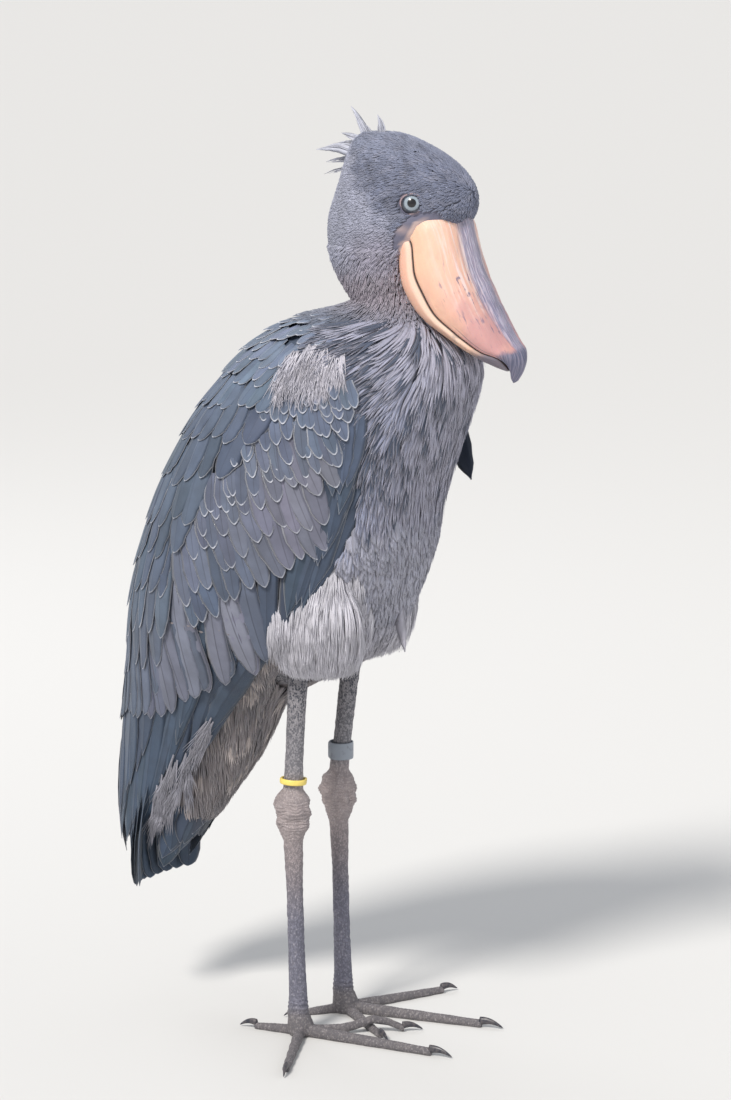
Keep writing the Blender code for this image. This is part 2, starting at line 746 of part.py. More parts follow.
def make_ring(name, place, inner, wall, length, collection):
    """A leg ring: a short tube turned from a rounded profile."""
    profile = bmesh.new()
    middle = inner + wall / 2
    verts = []
    for angle in full_circle(RING_PROFILE_SIDES):
        radius = middle + wall / 2 * math.cos(angle)
        verts.append(profile.verts.new((radius, 0, length / 2 * math.sin(angle))))
    edges = [profile.edges.new((first, second)) for first, second in zip(verts, verts[1:] + verts[:1])]
    bmesh.ops.spin(
        profile, geom=verts + edges, cent=(0, 0, 0), axis=(0, 0, 1), angle=2 * math.pi, steps=RING_STEPS,
        use_merge=True,
    )
    bmesh.ops.remove_doubles(profile, verts=profile.verts, dist=0.00001)
    bmesh.ops.transform(profile, matrix=place, verts=profile.verts)
    return finished_object(name, name, profile, collection)


def centre_on_floor(collection):
    """Moves every piece so that the origin is at the bottom centre of the bounding box."""
    corners = np.array([vertex.co for obj in collection.objects for vertex in obj.data.vertices])
    low, high = corners.min(axis=0), corners.max(axis=0)
    shift = Matrix.Translation((-(low[0] + high[0]) / 2, -(low[1] + high[1]) / 2, -low[2]))
    for obj in collection.objects:
        obj.data.transform(shift)


def make_head_parts(head, neck, trunk, parts, cutters):
    """The bill, the eyes and the crest, each let into the head."""
    bill_upper, bill_lower = make_bill(parts)
    eyes = [make_eye(side, parts) for side in (1, -1)]
    make_crest("crest", parts)
    cut_clear(head, [bill_upper, bill_lower, *eyes], cutters)
    combine(head, make_crest("crest_cutter", cutters, CREST_GAP), "DIFFERENCE")
    keep_largest(head)
    cut_clear(neck, [bill_lower], cutters)
    cut_clear(trunk, [bill_lower], cutters)


def make_wings_and_tail(trunk, parts, cutters):
    wing_right = make_wing("wing_right", parts)
    wing_left = mirrored(wing_right, "wing_left", parts)
    tail = make_tail(parts)
    for piece in (tail, trunk):
        wing_cutter = make_wing("wing_cutter", cutters, WING_GAP)
        combine(piece, mirrored(wing_cutter, "wing_cutter_left", cutters), "DIFFERENCE")
        combine(piece, wing_cutter, "DIFFERENCE")
        keep_largest(piece)
    cut_clear(trunk, [tail], cutters)
    wrist_feather = make_wrist_feather(parts)
    cut_clear(wrist_feather, [trunk], cutters)
    combine(wing_left, wrist_feather, "UNION")
    keep_largest(wing_left)
    return wing_right, wing_left


def make_legs(trunk, wing_right, wing_left, parts, cutters):
    thigh_right = level_tube("thigh_right", "thigh", THIGH_SLICES, THIGH_SIDES, parts)
    thigh_left = mirrored(thigh_right, "thigh_left", parts)
    thigh_left.data.transform(Matrix.Translation(LEFT_THIGH_SHIFT))
    cut_clear(thigh_right, [trunk, wing_right], cutters)
    cut_clear(thigh_left, [trunk, wing_left], cutters)
    for name, thigh in (("right", thigh_right), ("left", thigh_left)):
        side = math.copysign(1, FOOT_X[name])
        shin, hub = make_leg(side, name, SHIN_TOP_FRONT[name], parts)
        cut_clear(shin, [trunk, thigh], cutters)
        placed = [hub]
        for toe in TOES[name]:
            toe_obj = make_toe(name, toe, parts)
            cut_clear(toe_obj, placed, cutters)
            placed.append(toe_obj)


def make_leg_rings(parts):
    for name, leg, height, inner, wall, length, tilt in LEG_RINGS:
        x = math.copysign(LEG_X, FOOT_X[leg])
        centre = (x, -shin_front(SHIN_TOP_FRONT[leg], height), height)
        place = Matrix.Translation(centre) @ Matrix.Rotation(tilt, 4, RING_TILT_AXIS)
        make_ring(name, place, inner, wall, length, parts)


def main():
    clear_scene()
    parts = make_collection("shoebill")
    cutters = make_collection("cutters")
    head, neck, trunk = make_body_parts(parts)
    make_head_parts(head, neck, trunk, parts, cutters)
    wing_right, wing_left = make_wings_and_tail(trunk, parts, cutters)
    make_legs(trunk, wing_right, wing_left, parts, cutters)
    make_leg_rings(parts)
    centre_on_floor(parts)


main()
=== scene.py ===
"""Looks of a life-size standing shoebill: skin, feathers of solid mesh, bill, eyes, claws and leg rings.

The design frame has its origin on the floor between the feet. The bill points to -Y, +X is the bird's
left, and "front" is the distance towards the bill. Every piece is made in that frame and moved once to
the place of the CAD model.
"""
import math
from collections import namedtuple

import bmesh
import bpy
import numpy as np
from mathutils import Matrix, Vector
from mathutils.bvhtree import BVHTree


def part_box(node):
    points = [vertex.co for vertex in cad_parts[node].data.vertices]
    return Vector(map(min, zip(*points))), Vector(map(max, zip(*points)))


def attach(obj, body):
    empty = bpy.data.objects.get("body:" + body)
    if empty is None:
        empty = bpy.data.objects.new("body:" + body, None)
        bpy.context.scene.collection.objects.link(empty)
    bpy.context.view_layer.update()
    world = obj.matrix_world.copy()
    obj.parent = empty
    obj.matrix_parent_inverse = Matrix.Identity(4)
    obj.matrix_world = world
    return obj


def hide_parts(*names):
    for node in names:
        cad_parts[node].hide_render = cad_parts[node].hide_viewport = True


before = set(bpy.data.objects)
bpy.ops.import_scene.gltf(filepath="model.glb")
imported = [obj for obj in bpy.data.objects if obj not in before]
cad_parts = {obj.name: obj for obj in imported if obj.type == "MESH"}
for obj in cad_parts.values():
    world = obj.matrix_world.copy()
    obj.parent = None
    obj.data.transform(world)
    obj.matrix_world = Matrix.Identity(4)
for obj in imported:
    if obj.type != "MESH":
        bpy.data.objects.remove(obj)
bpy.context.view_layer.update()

SEED = 20731

# Eyes
EYE_X, EYE_FRONT, EYE_Z = 0.0405, 0.1365, 0.9335
EYE_RADIUS = 0.0135
GAZE = (0.87, -0.46, 0.12)
PUPIL_RADIUS = 0.0046
IRIS_RADIUS = 0.0094

# Height, front edge, back edge and half-width of the plumage, wings included, from crown to tail
BODY_SLICES = (
    (1.0050, 0.082, 0.062, 0.008),
    (1.0000, 0.104, 0.052, 0.022),
    (0.9920, 0.127, 0.044, 0.034),
    (0.9750, 0.160, 0.037, 0.0465),
    (0.9550, 0.182, 0.031, 0.0545),
    (0.9350, 0.190, 0.024, 0.0575),
    (0.9150, 0.184, 0.017, 0.0580),
    (0.8950, 0.168, 0.015, 0.0565),
    (0.8750, 0.150, 0.017, 0.0535),
    (0.8550, 0.137, 0.025, 0.0500),
    (0.8350, 0.129, 0.038, 0.0460),
    (0.8200, 0.130, 0.044, 0.0450),
    (0.8080, 0.140, 0.012, 0.0580),
    (0.7980, 0.157, -0.028, 0.0740),
    (0.7850, 0.174, -0.054, 0.0900),
    (0.7600, 0.190, -0.085, 0.1090),
    (0.7300, 0.184, -0.108, 0.1230),
    (0.7000, 0.172, -0.130, 0.1320),
    (0.6500, 0.151, -0.159, 0.1390),
    (0.6000, 0.134, -0.184, 0.1410),
    (0.5500, 0.125, -0.203, 0.1390),
    (0.5000, 0.107, -0.220, 0.1340),
    (0.4600, 0.086, -0.229, 0.1250),
    (0.4400, 0.071, -0.232, 0.1170),
    (0.4200, 0.044, -0.235, 0.1080),
    (0.4000, 0.002, -0.238, 0.0980),
    (0.3700, -0.046, -0.244, 0.0870),
    (0.3400, -0.062, -0.251, 0.0770),
    (0.3000, -0.083, -0.258, 0.0650),
    (0.2600, -0.113, -0.264, 0.0540),
    (0.2200, -0.141, -0.265, 0.0460),
    (0.1900, -0.160, -0.263, 0.0400),
    (0.1600, -0.182, -0.254, 0.0330),
)
BODY_SQUARENESS = ((1.01, 2.0), (0.82, 2.0), (0.70, 2.25), (0.45, 2.25), (0.15, 2.0))

# Height, back edge and half-width of the trunk alone below the wings
UNDERTAIL_SLICES = (
    (0.4600, -0.229, 0.115),
    (0.4200, -0.232, 0.090),
    (0.4000, -0.234, 0.076),
    (0.3700, -0.236, 0.064),
    (0.3400, -0.236, 0.056),
    (0.3000, -0.234, 0.048),
    (0.2600, -0.230, 0.042),
    (0.2200, -0.226, 0.034),
    (0.1950, -0.220, 0.024),
)

# Height and how deep the skin lies under the plumage there
COAT_DEPTH = (
    (0.20, 0.005), (0.40, 0.007), (0.46, 0.009), (0.60, 0.009), (0.76, 0.009),
    (0.82, 0.006), (0.87, 0.0036), (0.92, 0.0026), (1.00, 0.0026),
)
WING_RISE = 0.0042
EYE_HOLLOW = 0.0022
EYE_HOLLOW_RADIUS = 0.024
EYE_CLEAR = 0.0128

# Height and front distance of the folded wing's leading edge
WING_FRONT = (
    (0.7560, 0.060), (0.7400, 0.084), (0.7000, 0.112), (0.6800, 0.119), (0.6560, 0.116), (0.6260, 0.104),
    (0.5930, 0.091), (0.5530, 0.073), (0.5190, 0.054), (0.4890, 0.036), (0.4550, 0.026), (0.4320, 0.008),
    (0.3980, -0.048), (0.3710, -0.088), (0.3300, -0.110), (0.2900, -0.134), (0.2500, -0.166),
    (0.2100, -0.200), (0.1800, -0.226), (0.1580, -0.240),
)

# The tail's centre line and half-width from root to tip: front, height, half-width
TAIL_STATIONS = (
    (-0.196, 0.360, 0.022),
    (-0.213, 0.310, 0.036),
    (-0.227, 0.260, 0.047),
    (-0.236, 0.210, 0.056),
    (-0.238, 0.170, 0.061),
    (-0.2370, 0.145, 0.060),
    (-0.2360, 0.131, 0.057),
)
TAIL_ARCH = 0.45
TAIL_FEATHERS = 12

# The bill in its own frame: distance along the bill, height of the ridge, of the cutting edge and of
# the lower jaw's underside above the bill's axis, and the half-width
BILL_FRONT = 0.146
BILL_Z = 0.896
BILL_SLOPE = math.radians(-58.2)
BILL_STATIONS = (
    (-0.0160, 0.0430, -0.0110, -0.0340, 0.0455),
    (0.0000, 0.0415, -0.0085, -0.0420, 0.0480),
    (0.0150, 0.0380, -0.0145, -0.0480, 0.0494),
    (0.0300, 0.0338, -0.0210, -0.0530, 0.0500),
    (0.0520, 0.0284, -0.0235, -0.0540, 0.0493),
    (0.0780, 0.0254, -0.0235, -0.0475, 0.0472),
    (0.1000, 0.0234, -0.0165, -0.0365, 0.0440),
    (0.1200, 0.0230, -0.0090, -0.0265, 0.0398),
    (0.1370, 0.0232, -0.0015, -0.0175, 0.0338),
    (0.1500, 0.0240, 0.0085, -0.0100, 0.0265),
)
BILL_HOOK = (
    (0.1580, 0.0240, 0.0095, 0.0190),
    (0.1660, 0.0205, 0.0065, 0.0120),
    (0.1730, 0.0130, 0.0010, 0.0065),
    (0.1775, 0.0045, -0.0010, 0.0025),
)
LOWER_JAW_TIP = (
    (0.1580, 0.0075, -0.0050, 0.0180),
    (0.1640, 0.0050, -0.0010, 0.0090),
)
JAW_GAP = 0.0003
BILL_LOWEST = 0.66

# Height, x, front, half-depth and half-width of the feathered right thigh
THIGH_SLICES = (
    (0.5400, -0.086, 0.054, 0.018, 0.012),
    (0.5200, -0.087, 0.053, 0.034, 0.022),
    (0.4950, -0.084, 0.050, 0.044, 0.029),
    (0.4700, -0.077, 0.045, 0.049, 0.034),
    (0.4500, -0.070, 0.038, 0.048, 0.035),
    (0.4350, -0.064, 0.031, 0.043, 0.032),
    (0.4240, -0.058, 0.024, 0.034, 0.025),
    (0.4160, -0.054, 0.016, 0.022, 0.017),
)
LEFT_THIGH_SHIFT = np.array((-0.010, 0.016, 0.0))
THIGH_INSET = 0.006

# Legs
FOOT_X = {"right": -0.052, "left": 0.047}
HUB_FRONT = 0.003
LEG_X = 0.050
ANKLE_Z = 0.251
ANKLE_FRONT = -0.007
SHIN_TOP_Z = 0.430
SHIN_BOTTOM_Z = 0.281
SHIN_TOP_FRONT = {"right": 0.001, "left": 0.012}
SHIN_STUB = (0.395, 0.475, 0.0104)
LEG_PARTS = ("shin", "ankle", "tarsus", "foot")
LEG_TOP, ANKLE_TOP, TARSUS_TOP = 0.428, 0.31, 0.13
ANKLE_REACH, SHIN_REACH = 0.038, 0.030
LEG_MIDDLE_Y = 0.002
LEG_VOXEL = 0.00095
LEG_GROW = 0.00022

# Toe name, heading in degrees from straight ahead (+ is towards the bird's left), length, root width
TOES = {
    "right": (
        ("outer", -66.0, 0.132, 0.0062),
        ("middle", 3.0, 0.162, 0.0068),
        ("inner", 36.0, 0.116, 0.0060),
        ("hind", -174.0, 0.056, 0.0056),
    ),
    "left": (
        ("inner", -38.0, 0.107, 0.0060),
        ("middle", 9.0, 0.164, 0.0068),
        ("outer", 62.0, 0.132, 0.0062),
        ("hind", -132.0, 0.054, 0.0056),
    ),
}
CLAW_LENGTHS = {"outer": 0.020, "middle": 0.025, "inner": 0.021, "hind": 0.019}

# Leg rings: name, side, height, inner radius, wall, length, tilt
LEG_RINGS = (
    ("ring_yellow", "right", 0.2900, 0.0122, 0.0045, 0.0065, math.radians(4)),
    ("band_grey", "left", 0.3045, 0.0122, 0.0028, 0.0200, 0.0),
)
RING_COLOURS = (
    ((0.84, 0.66, 0.16), (0.40, 0.28, 0.08), 0.3),
    ((0.27, 0.30, 0.35), (0.12, 0.12, 0.13), 0.5),
)
RING_TILT_AXIS = (0.5, 0.85, 0)
BLOCK_CORNER = 0.45

# The camera in the design frame
CAMERA_PLACE = (-3.6128, -2.1424, 1.35)
CAMERA_LOOK = (0.8504, 0.4910, -0.1891)
CAMERA_LENS = 127.25
CAMERA_SENSOR = 36.0

# The studio: lamps by name, place beside the aim, size and energy
AIM_HEIGHT = 0.62
WORLD_COLOUR, WORLD_STRENGTH = (0.93, 0.95, 1.0, 1.0), 0.58
KEY_PLACE, KEY_STRENGTH, KEY_SPREAD = (-2.2, 0.10, 2.3), 3.1, math.radians(14)
KEY_COLOUR, SOFT_COLOUR = (1.0, 0.955, 0.90), (0.95, 0.97, 1.0)
SOFT_LAMPS = (("fill", (0.3, -3.2, 0.9), 2.4, 14.0), ("back", (1.2, 2.6, 1.9), 2.0, 20.0))
FLOOR_COLOUR = (0.66, 0.66, 0.65, 1.0)
FLOOR_REACH = 60.0

# Colours used in several places
DARK_SLATE = (0.045, 0.068, 0.108)
MAUVE = (0.162, 0.166, 0.218)
PALE_EDGE = (0.70, 0.72, 0.80)
LAVENDER = (0.46, 0.45, 0.54)
WHITE_DOWN = (0.66, 0.65, 0.72)
GREY_DOWN = (0.50, 0.49, 0.57)
FACE_DOWN = (0.50, 0.52, 0.62)
LEG_DARK, LEG_GREY, LEG_WARM = (0.20, 0.20, 0.255), (0.30, 0.29, 0.31), (0.40, 0.345, 0.345)


def smooth_table(table, at):
    """A table's columns at some positions of its first column, along smooth curves."""
    rows = np.array(sorted(tuple(row) for row in table), float)
    knots = rows[:, 0]
    values = rows[:, 1:]
    steps = np.diff(knots)[:, None]
    slopes = np.diff(values, axis=0) / steps
    tangents = np.vstack([slopes[:1], (slopes[1:] + slopes[:-1]) / 2, slopes[-1:]])
    at = np.clip(np.atleast_1d(np.asarray(at, float)), knots[0], knots[-1])
    index = np.clip(np.searchsorted(knots, at, side="right") - 1, 0, len(knots) - 2)
    width = steps[index]
    t = ((at - knots[index])[:, None]) / width
    start = (2 * t**3 - 3 * t**2 + 1) * values[index]
    start_turn = (t**3 - 2 * t**2 + t) * width * tangents[index]
    end = (-2 * t**3 + 3 * t**2) * values[index + 1]
    end_turn = (t**3 - t**2) * width * tangents[index + 1]
    return start + start_turn + end + end_turn


def full_turn(count):
    """Evenly spaced angles once round a circle."""
    return np.linspace(0, 2 * math.pi, count, endpoint=False)


def signed_power(values, power):
    return np.sign(values) * np.abs(values) ** power


def unit(vectors):
    return vectors / np.maximum(np.linalg.norm(vectors, axis=-1, keepdims=True), 1e-12)


def ramp(value, low, high):
    """0 at low, 1 at high, smooth between. High may be under low."""
    share = np.clip((np.asarray(value, float) - low) / (high - low), 0, 1)
    return share * share * (3 - 2 * share)


def ripple(points, size, seed):
    """Smooth noise between about -1 and 1 that changes over the given size."""
    rng = np.random.default_rng(seed)
    waves = unit(rng.normal(size=(9, 3))) * rng.uniform(0.6, 1.6, (9, 1)) * (2 * math.pi / size)
    phases = rng.uniform(0, 2 * math.pi, 9)
    return np.sin(points @ waves.T + phases).sum(axis=-1) / 3.0


def blend(first, second, share):
    """Colours mixed by a share for each point."""
    share = np.asarray(share)[..., None]
    return np.asarray(first) * (1 - share) + np.asarray(second) * share


LEVELS = np.linspace(0.15, 1.01, 1721)
BODY_COLUMNS = np.hstack([smooth_table(BODY_SLICES, LEVELS), smooth_table(BODY_SQUARENESS, LEVELS)]).T
WING_FRONT_COLUMN = smooth_table(WING_FRONT, LEVELS)[:, 0]


def body_at(heights):
    """Centre, half-depth, half-width and squareness of the whole plumage at some heights."""
    front, back, width, squareness = (np.interp(heights, LEVELS, column) for column in BODY_COLUMNS)
    return (front + back) / 2, (front - back) / 2, width, squareness


def oval(angles, squareness):
    """How far along and across an outline of unit size lies at some angles."""
    power = 2.0 / squareness
    return signed_power(np.cos(angles), power), signed_power(np.sin(angles), power)


def surface(angles, heights, proud=0.0):
    """Points of the plumage's outline. Angle 0 is the front, and 90 degrees is the bird's left."""
    centre, depth, width, squareness = body_at(heights)
    along, across = oval(angles, squareness)
    return np.stack([(width + proud) * across, -(centre + (depth + proud) * along), heights], axis=-1)


def angle_of(points):
    """The outline's angle at some points, in radians."""
    centre, depth, width, squareness = body_at(points[..., 2])
    along = (-points[..., 1] - centre) / depth
    across = points[..., 0] / width
    return np.arctan2(signed_power(across, squareness / 2), signed_power(along, squareness / 2))


def degrees_round(points):
    """How far round the body some points lie, in degrees from the front on either side."""
    return np.degrees(np.abs(angle_of(points)))


def wing_edge_angle(heights):
    """The angle at which the folded wing's leading edge lies, in degrees."""
    centre, depth, _, squareness = body_at(heights)
    front = np.interp(heights, LEVELS, WING_FRONT_COLUMN)
    share = np.clip((front - centre) / depth, -0.98, 0.98)
    return np.degrees(np.arccos(signed_power(share, squareness / 2)))


def design_offset():
    """Where the design frame's origin lies in the CAD model's frame, from the eyes."""
    middles = [(low + high) / 2 for low, high in (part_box("eye_left"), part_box("eye_right"))]
    middle = (middles[0] + middles[1]) / 2
    return middle - Vector((0, -EYE_FRONT, EYE_Z))


OFFSET = design_offset()


def read_rows(items, field, width, kind=np.float64):
    """One field of a mesh's vertices, loops or triangles as rows of numbers."""
    values = np.empty(len(items) * width, kind)
    items.foreach_get(field, values)
    return values.reshape(-1, width)


def triangles_of(mesh):
    mesh.calc_loop_triangles()
    return read_rows(mesh.loop_triangles, "vertices", 3, np.int32)


def mesh_arrays(mesh):
    return read_rows(mesh.vertices, "co", 3), read_rows(mesh.vertices, "normal", 3)


def move_points(mesh, points):
    mesh.vertices.foreach_set("co", np.asarray(points, np.float32).reshape(-1))
    mesh.update()


def cad_mesh(*nodes):
    """Points in the design frame and triangles of some CAD nodes."""
    points, faces, count = [], [], 0
    for node in nodes:
        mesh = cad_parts[node].data
        points.append(read_rows(mesh.vertices, "co", 3) - np.array(OFFSET))
        faces.append(triangles_of(mesh) + count)
        count += len(mesh.vertices)
    return np.concatenate(points), np.concatenate(faces)


class Form:
    """A surface on which points are found and feathers are laid."""

    def __init__(self, points, faces):
        self.tree = BVHTree.FromPolygons([tuple(p) for p in points.tolist()], [tuple(f) for f in faces])

    def nearest(self, points):
        if not len(points):
            return np.zeros((0, 3)), np.zeros((0, 3))
        found = [self.tree.find_nearest(point) for point in points.tolist()]
        return np.array([hit[0] for hit in found]), np.array([hit[1] for hit in found])

    def height_over(self, points):
        """Signed distance from the surface, positive outside."""
        places, normals = self.nearest(points)
        away = points - places
        side = np.sign((away * normals).sum(axis=1))
        return np.linalg.norm(away, axis=1) * side


def tube_faces(count, sides):
    """The quads and the two end caps of a tube through some rings of equal point count."""
    first = np.arange(count - 1)[:, None] * sides + np.arange(sides)[None]
    after = np.arange(count - 1)[:, None] * sides + (np.arange(sides)[None] + 1) % sides
    quads = np.stack([first, after, after + sides, first + sides], axis=-1).reshape(-1, 4)
    return quads, np.stack([np.arange(sides)[::-1], np.arange(sides) + (count - 1) * sides])


def loft_arrays(rings):
    """Points, quads and two end caps through rings of equal point count, with the faces outwards."""
    rings = np.asarray(rings, float)
    quads, caps = tube_faces(*rings.shape[:2])
    points = rings.reshape(-1, 3)
    corners = points[quads]
    volume = np.einsum("ij,ij->i", corners[:, 0] - points.mean(axis=0), np.cross(
        corners[:, 1] - corners[:, 0], corners[:, 2] - corners[:, 0])).sum()
    if volume < 0:
        quads, caps = quads[:, ::-1], caps[:, ::-1]
    return points, [quads, caps]


def fill_mesh(mesh, points, face_groups):
    """Puts points and faces of several corner counts into an empty mesh."""
    corners = np.concatenate([group.reshape(-1) for group in face_groups]).astype(np.int32)
    sizes = np.concatenate([np.full(len(group), group.shape[1]) for group in face_groups])
    starts = np.concatenate([[0], np.cumsum(sizes)[:-1]]).astype(np.int32)
    mesh.vertices.add(len(points))
    mesh.vertices.foreach_set("co", np.asarray(points, np.float32).reshape(-1))
    mesh.loops.add(len(corners))
    mesh.loops.foreach_set("vertex_index", corners)
    mesh.polygons.add(len(sizes))
    mesh.polygons.foreach_set("loop_start", starts)
    mesh.update(calc_edges=True)
    mesh.shade_smooth()


def add_attribute(mesh, name, values):
    """A number, a vector or a colour for each point of a mesh."""
    values = np.asarray(values, np.float32)
    kinds = {1: ("FLOAT", "value"), 3: ("FLOAT_VECTOR", "vector"), 4: ("FLOAT_COLOR", "color")}
    kind, field = kinds[values.shape[1] if values.ndim == 2 else 1]
    mesh.attributes.new(name, kind, "POINT").data.foreach_set(field, values.reshape(-1))


def add_bake_map(mesh, places):
    """The bake map, given as one place for each point."""
    corners = read_rows(mesh.loops, "vertex_index", 1, np.int32)[:, 0]
    layer = mesh.uv_layers.new(name="OFBake")
    layer.data.foreach_set("uv", np.asarray(places, np.float32)[corners].reshape(-1))


def new_object(name, points, face_groups, attributes=None, bake=None):
    mesh = bpy.data.meshes.new(name)
    fill_mesh(mesh, points, face_groups)
    for label, values in (attributes or {}).items():
        add_attribute(mesh, label, values)
    if bake is not None:
        add_bake_map(mesh, bake)
    obj = bpy.data.objects.new(name, mesh)
    bpy.context.scene.collection.objects.link(obj)
    return obj


def evaluated_copy(obj):
    """Applies the modifiers of an object."""
    graph = bpy.context.evaluated_depsgraph_get()
    done = bpy.data.meshes.new_from_object(obj.evaluated_get(graph))
    obj.modifiers.clear()
    old = obj.data
    obj.data = done
    bpy.data.meshes.remove(old)
    return obj


def finish_piece(obj, material, replaced=()):
    """Gives a piece its material, moves it to the model's place and lets it ride on the body."""
    if material is not None:
        obj.data.materials.clear()
        obj.data.materials.append(material)
    obj.data.transform(Matrix.Translation(OFFSET))
    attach(obj, "root")
    if replaced:
        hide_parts(*replaced)
    return obj


def bake_place(points):
    """An unwrap of the body's own shape: round the body and up."""
    around = angle_of(points) / (2 * math.pi) + 0.5
    up = points[..., 2] / 1.05
    return np.stack([0.03 + 0.94 * around, 0.03 + 0.94 * up], axis=-1)


# Skin

def skin_rings():
    """The plumage's outline drawn in by the coat's depth, without the free part of the wings."""
    sides = 132
    angles = full_turn(sides)
    heights = np.concatenate([
        np.arange(0.222, 0.862, 0.0034), np.arange(0.862, 0.9995, 0.0017), [1.0010],
    ])
    rings = []
    for height in heights:
        centre, depth, width, squareness = body_at(height)
        front, back = centre + depth, centre - depth
        if height < UNDERTAIL_SLICES[0][0]:
            back, width = smooth_table(UNDERTAIL_SLICES, height)[0]
        wing = ramp(np.degrees(np.abs(np.angle(np.exp(1j * angles)))), 66, 92) * ramp(height, 0.80, 0.77)
        inset = smooth_table(COAT_DEPTH, height)[0, 0] - WING_RISE * wing * ramp(height, 0.44, 0.50)
        along, across = oval(angles, squareness)
        y = -((front + back) / 2 + np.maximum((front - back) / 2 - inset, 0.004) * along)
        x = np.maximum(width - inset, 0.004) * across
        rings.append(np.stack([x, y, np.full(sides, height)], axis=1))
    return np.array(rings)


def thigh_rings(side):
    heights = np.linspace(THIGH_SLICES[-1][0] + 0.004, THIGH_SLICES[0][0], 34)
    angles = full_turn(40)
    rings = []
    for height, row in zip(heights, smooth_table(THIGH_SLICES, heights)):
        x, front, depth, width = row
        depth, width = max(depth - THIGH_INSET, 0.003), max(width - THIGH_INSET, 0.003)
        ring = np.stack([x + width * np.sin(angles), -(front + depth * np.cos(angles)),
                         np.full(len(angles), height)], axis=1)
        if side > 0:
            ring = ring[::-1] * (-1, 1, 1) + LEFT_THIGH_SHIFT
        rings.append(ring)
    return np.array(rings)


def shin_front(name, height):
    share = (height - SHIN_BOTTOM_Z) / (SHIN_TOP_Z - SHIN_BOTTOM_Z)
    return ANKLE_FRONT + (SHIN_TOP_FRONT[name] - ANKLE_FRONT) * share


def shin_stub_rings(name):
    """The top of the shin, hidden in the thigh."""
    low, high, radius = SHIN_STUB
    angles = full_turn(24)
    x = math.copysign(LEG_X, FOOT_X[name])
    rings = []
    for height in np.linspace(low, high, 6):
        y = -shin_front(name, height)
        rings.append(np.stack([x + radius * np.sin(angles), y - radius * np.cos(angles),
                               np.full(24, height)], axis=1))
    return np.array(rings)


def leg_shape(name):
    """One leg as a single smooth surface, from its CAD nodes."""
    nodes = [f"{part}_{name}" for part in LEG_PARTS] + [f"toe_{name}_{toe}" for toe in CLAW_LENGTHS]
    work = bmesh.new()
    for node in nodes:
        points, faces = cad_mesh(node)
        piece = bpy.data.meshes.new("piece")
        fill_mesh(piece, points, [faces])
        own = bmesh.new()
        own.from_mesh(piece)
        bmesh.ops.remove_doubles(own, verts=own.verts, dist=0.00001)
        own.normal_update()
        for vertex in own.verts:
            vertex.co += vertex.normal * LEG_GROW
        own.to_mesh(piece)
        own.free()
        work.from_mesh(piece)
        bpy.data.meshes.remove(piece)
    stub = bpy.data.meshes.new("stub")
    fill_mesh(stub, *loft_arrays(shin_stub_rings(name)))
    work.from_mesh(stub)
    bpy.data.meshes.remove(stub)
    mesh = bpy.data.meshes.new(f"leg_{name}")
    work.to_mesh(mesh)
    work.free()
    obj = bpy.data.objects.new(f"leg_{name}", mesh)
    bpy.context.scene.collection.objects.link(obj)
    remesh = obj.modifiers.new("remesh", "REMESH")
    remesh.mode = "VOXEL"
    remesh.voxel_size = LEG_VOXEL
    smooth = obj.modifiers.new("smooth", "SMOOTH")
    smooth.factor = 0.5
    smooth.iterations = 14
    return evaluated_copy(obj)


def leg_relief(points, normals):
    """How far a leg's surface is raised by joints, wrinkles, folds and scutes."""
    heights = points[:, 2]
    right = points[:, 0] < 0
    ankle = np.exp(-(((heights - ANKLE_Z) / 0.024) ** 2))
    knobs = ripple(points, 0.016, SEED + 1)
    wrinkles = np.sin((heights + 0.0012 * ripple(points, 0.012, SEED + 2)) * 2 * math.pi / 0.0038)
    relief = ankle * (0.0014 * knobs + 0.00050 * wrinkles)
    uneven = 0.45 + 0.55 * ripple(points, 0.028, SEED + 6)
    relief += uneven * (0.0015 * np.exp(-(((heights - 0.262) / 0.007) ** 2))
                        - 0.0013 * np.exp(-(((heights - 0.246) / 0.005) ** 2))
                        + 0.0010 * np.exp(-(((heights - 0.235) / 0.006) ** 2)))
    bend = np.exp(-(((heights - 0.033) / 0.010) ** 2))
    folds = np.sin((heights + 0.0006 * ripple(points, 0.012, SEED + 3)) * 2 * math.pi / 0.0052)
    relief += bend * 0.00045 * folds
    shank = ramp(heights, 0.05, 0.08) * (1 - ankle)
    relief += shank * 0.00022 * ripple(points * (1, 1, 0.45), 0.0045, SEED + 4)
    centre_x = np.where(right, FOOT_X["right"], FOOT_X["left"])
    reach = np.hypot(points[:, 0] - centre_x, points[:, 1] + HUB_FRONT)
    toe = ramp(reach, 0.018, 0.026) * ramp(heights, 0.026, 0.020) * ramp(normals[:, 2], -0.35, 0.15)
    scute = np.abs(np.sin(reach * math.pi / 0.0044 + 0.5 * ripple(points, 0.02, SEED + 5)))
    relief += toe * 0.00042 * (scute**0.35 - 0.75)
    pads = ramp(heights, 0.006, 0.002)
    return relief * (1 - pads)


def from_eye(points):
    """Each point's place as seen from the centre of the eye on its own side."""
    eye = np.array((EYE_X, -EYE_FRONT, EYE_Z))
    return points - np.where(points[:, :1] > 0, eye, eye * (-1, 1, 1))


def union(obj, other):
    """Joins another closed object to one, as one surface."""
    modifier = obj.modifiers.new("union", "BOOLEAN")
    modifier.operation = "UNION"
    modifier.object = other
    modifier.solver = "MANIFOLD"
    evaluated_copy(obj)
    bpy.data.objects.remove(other, do_unlink=True)


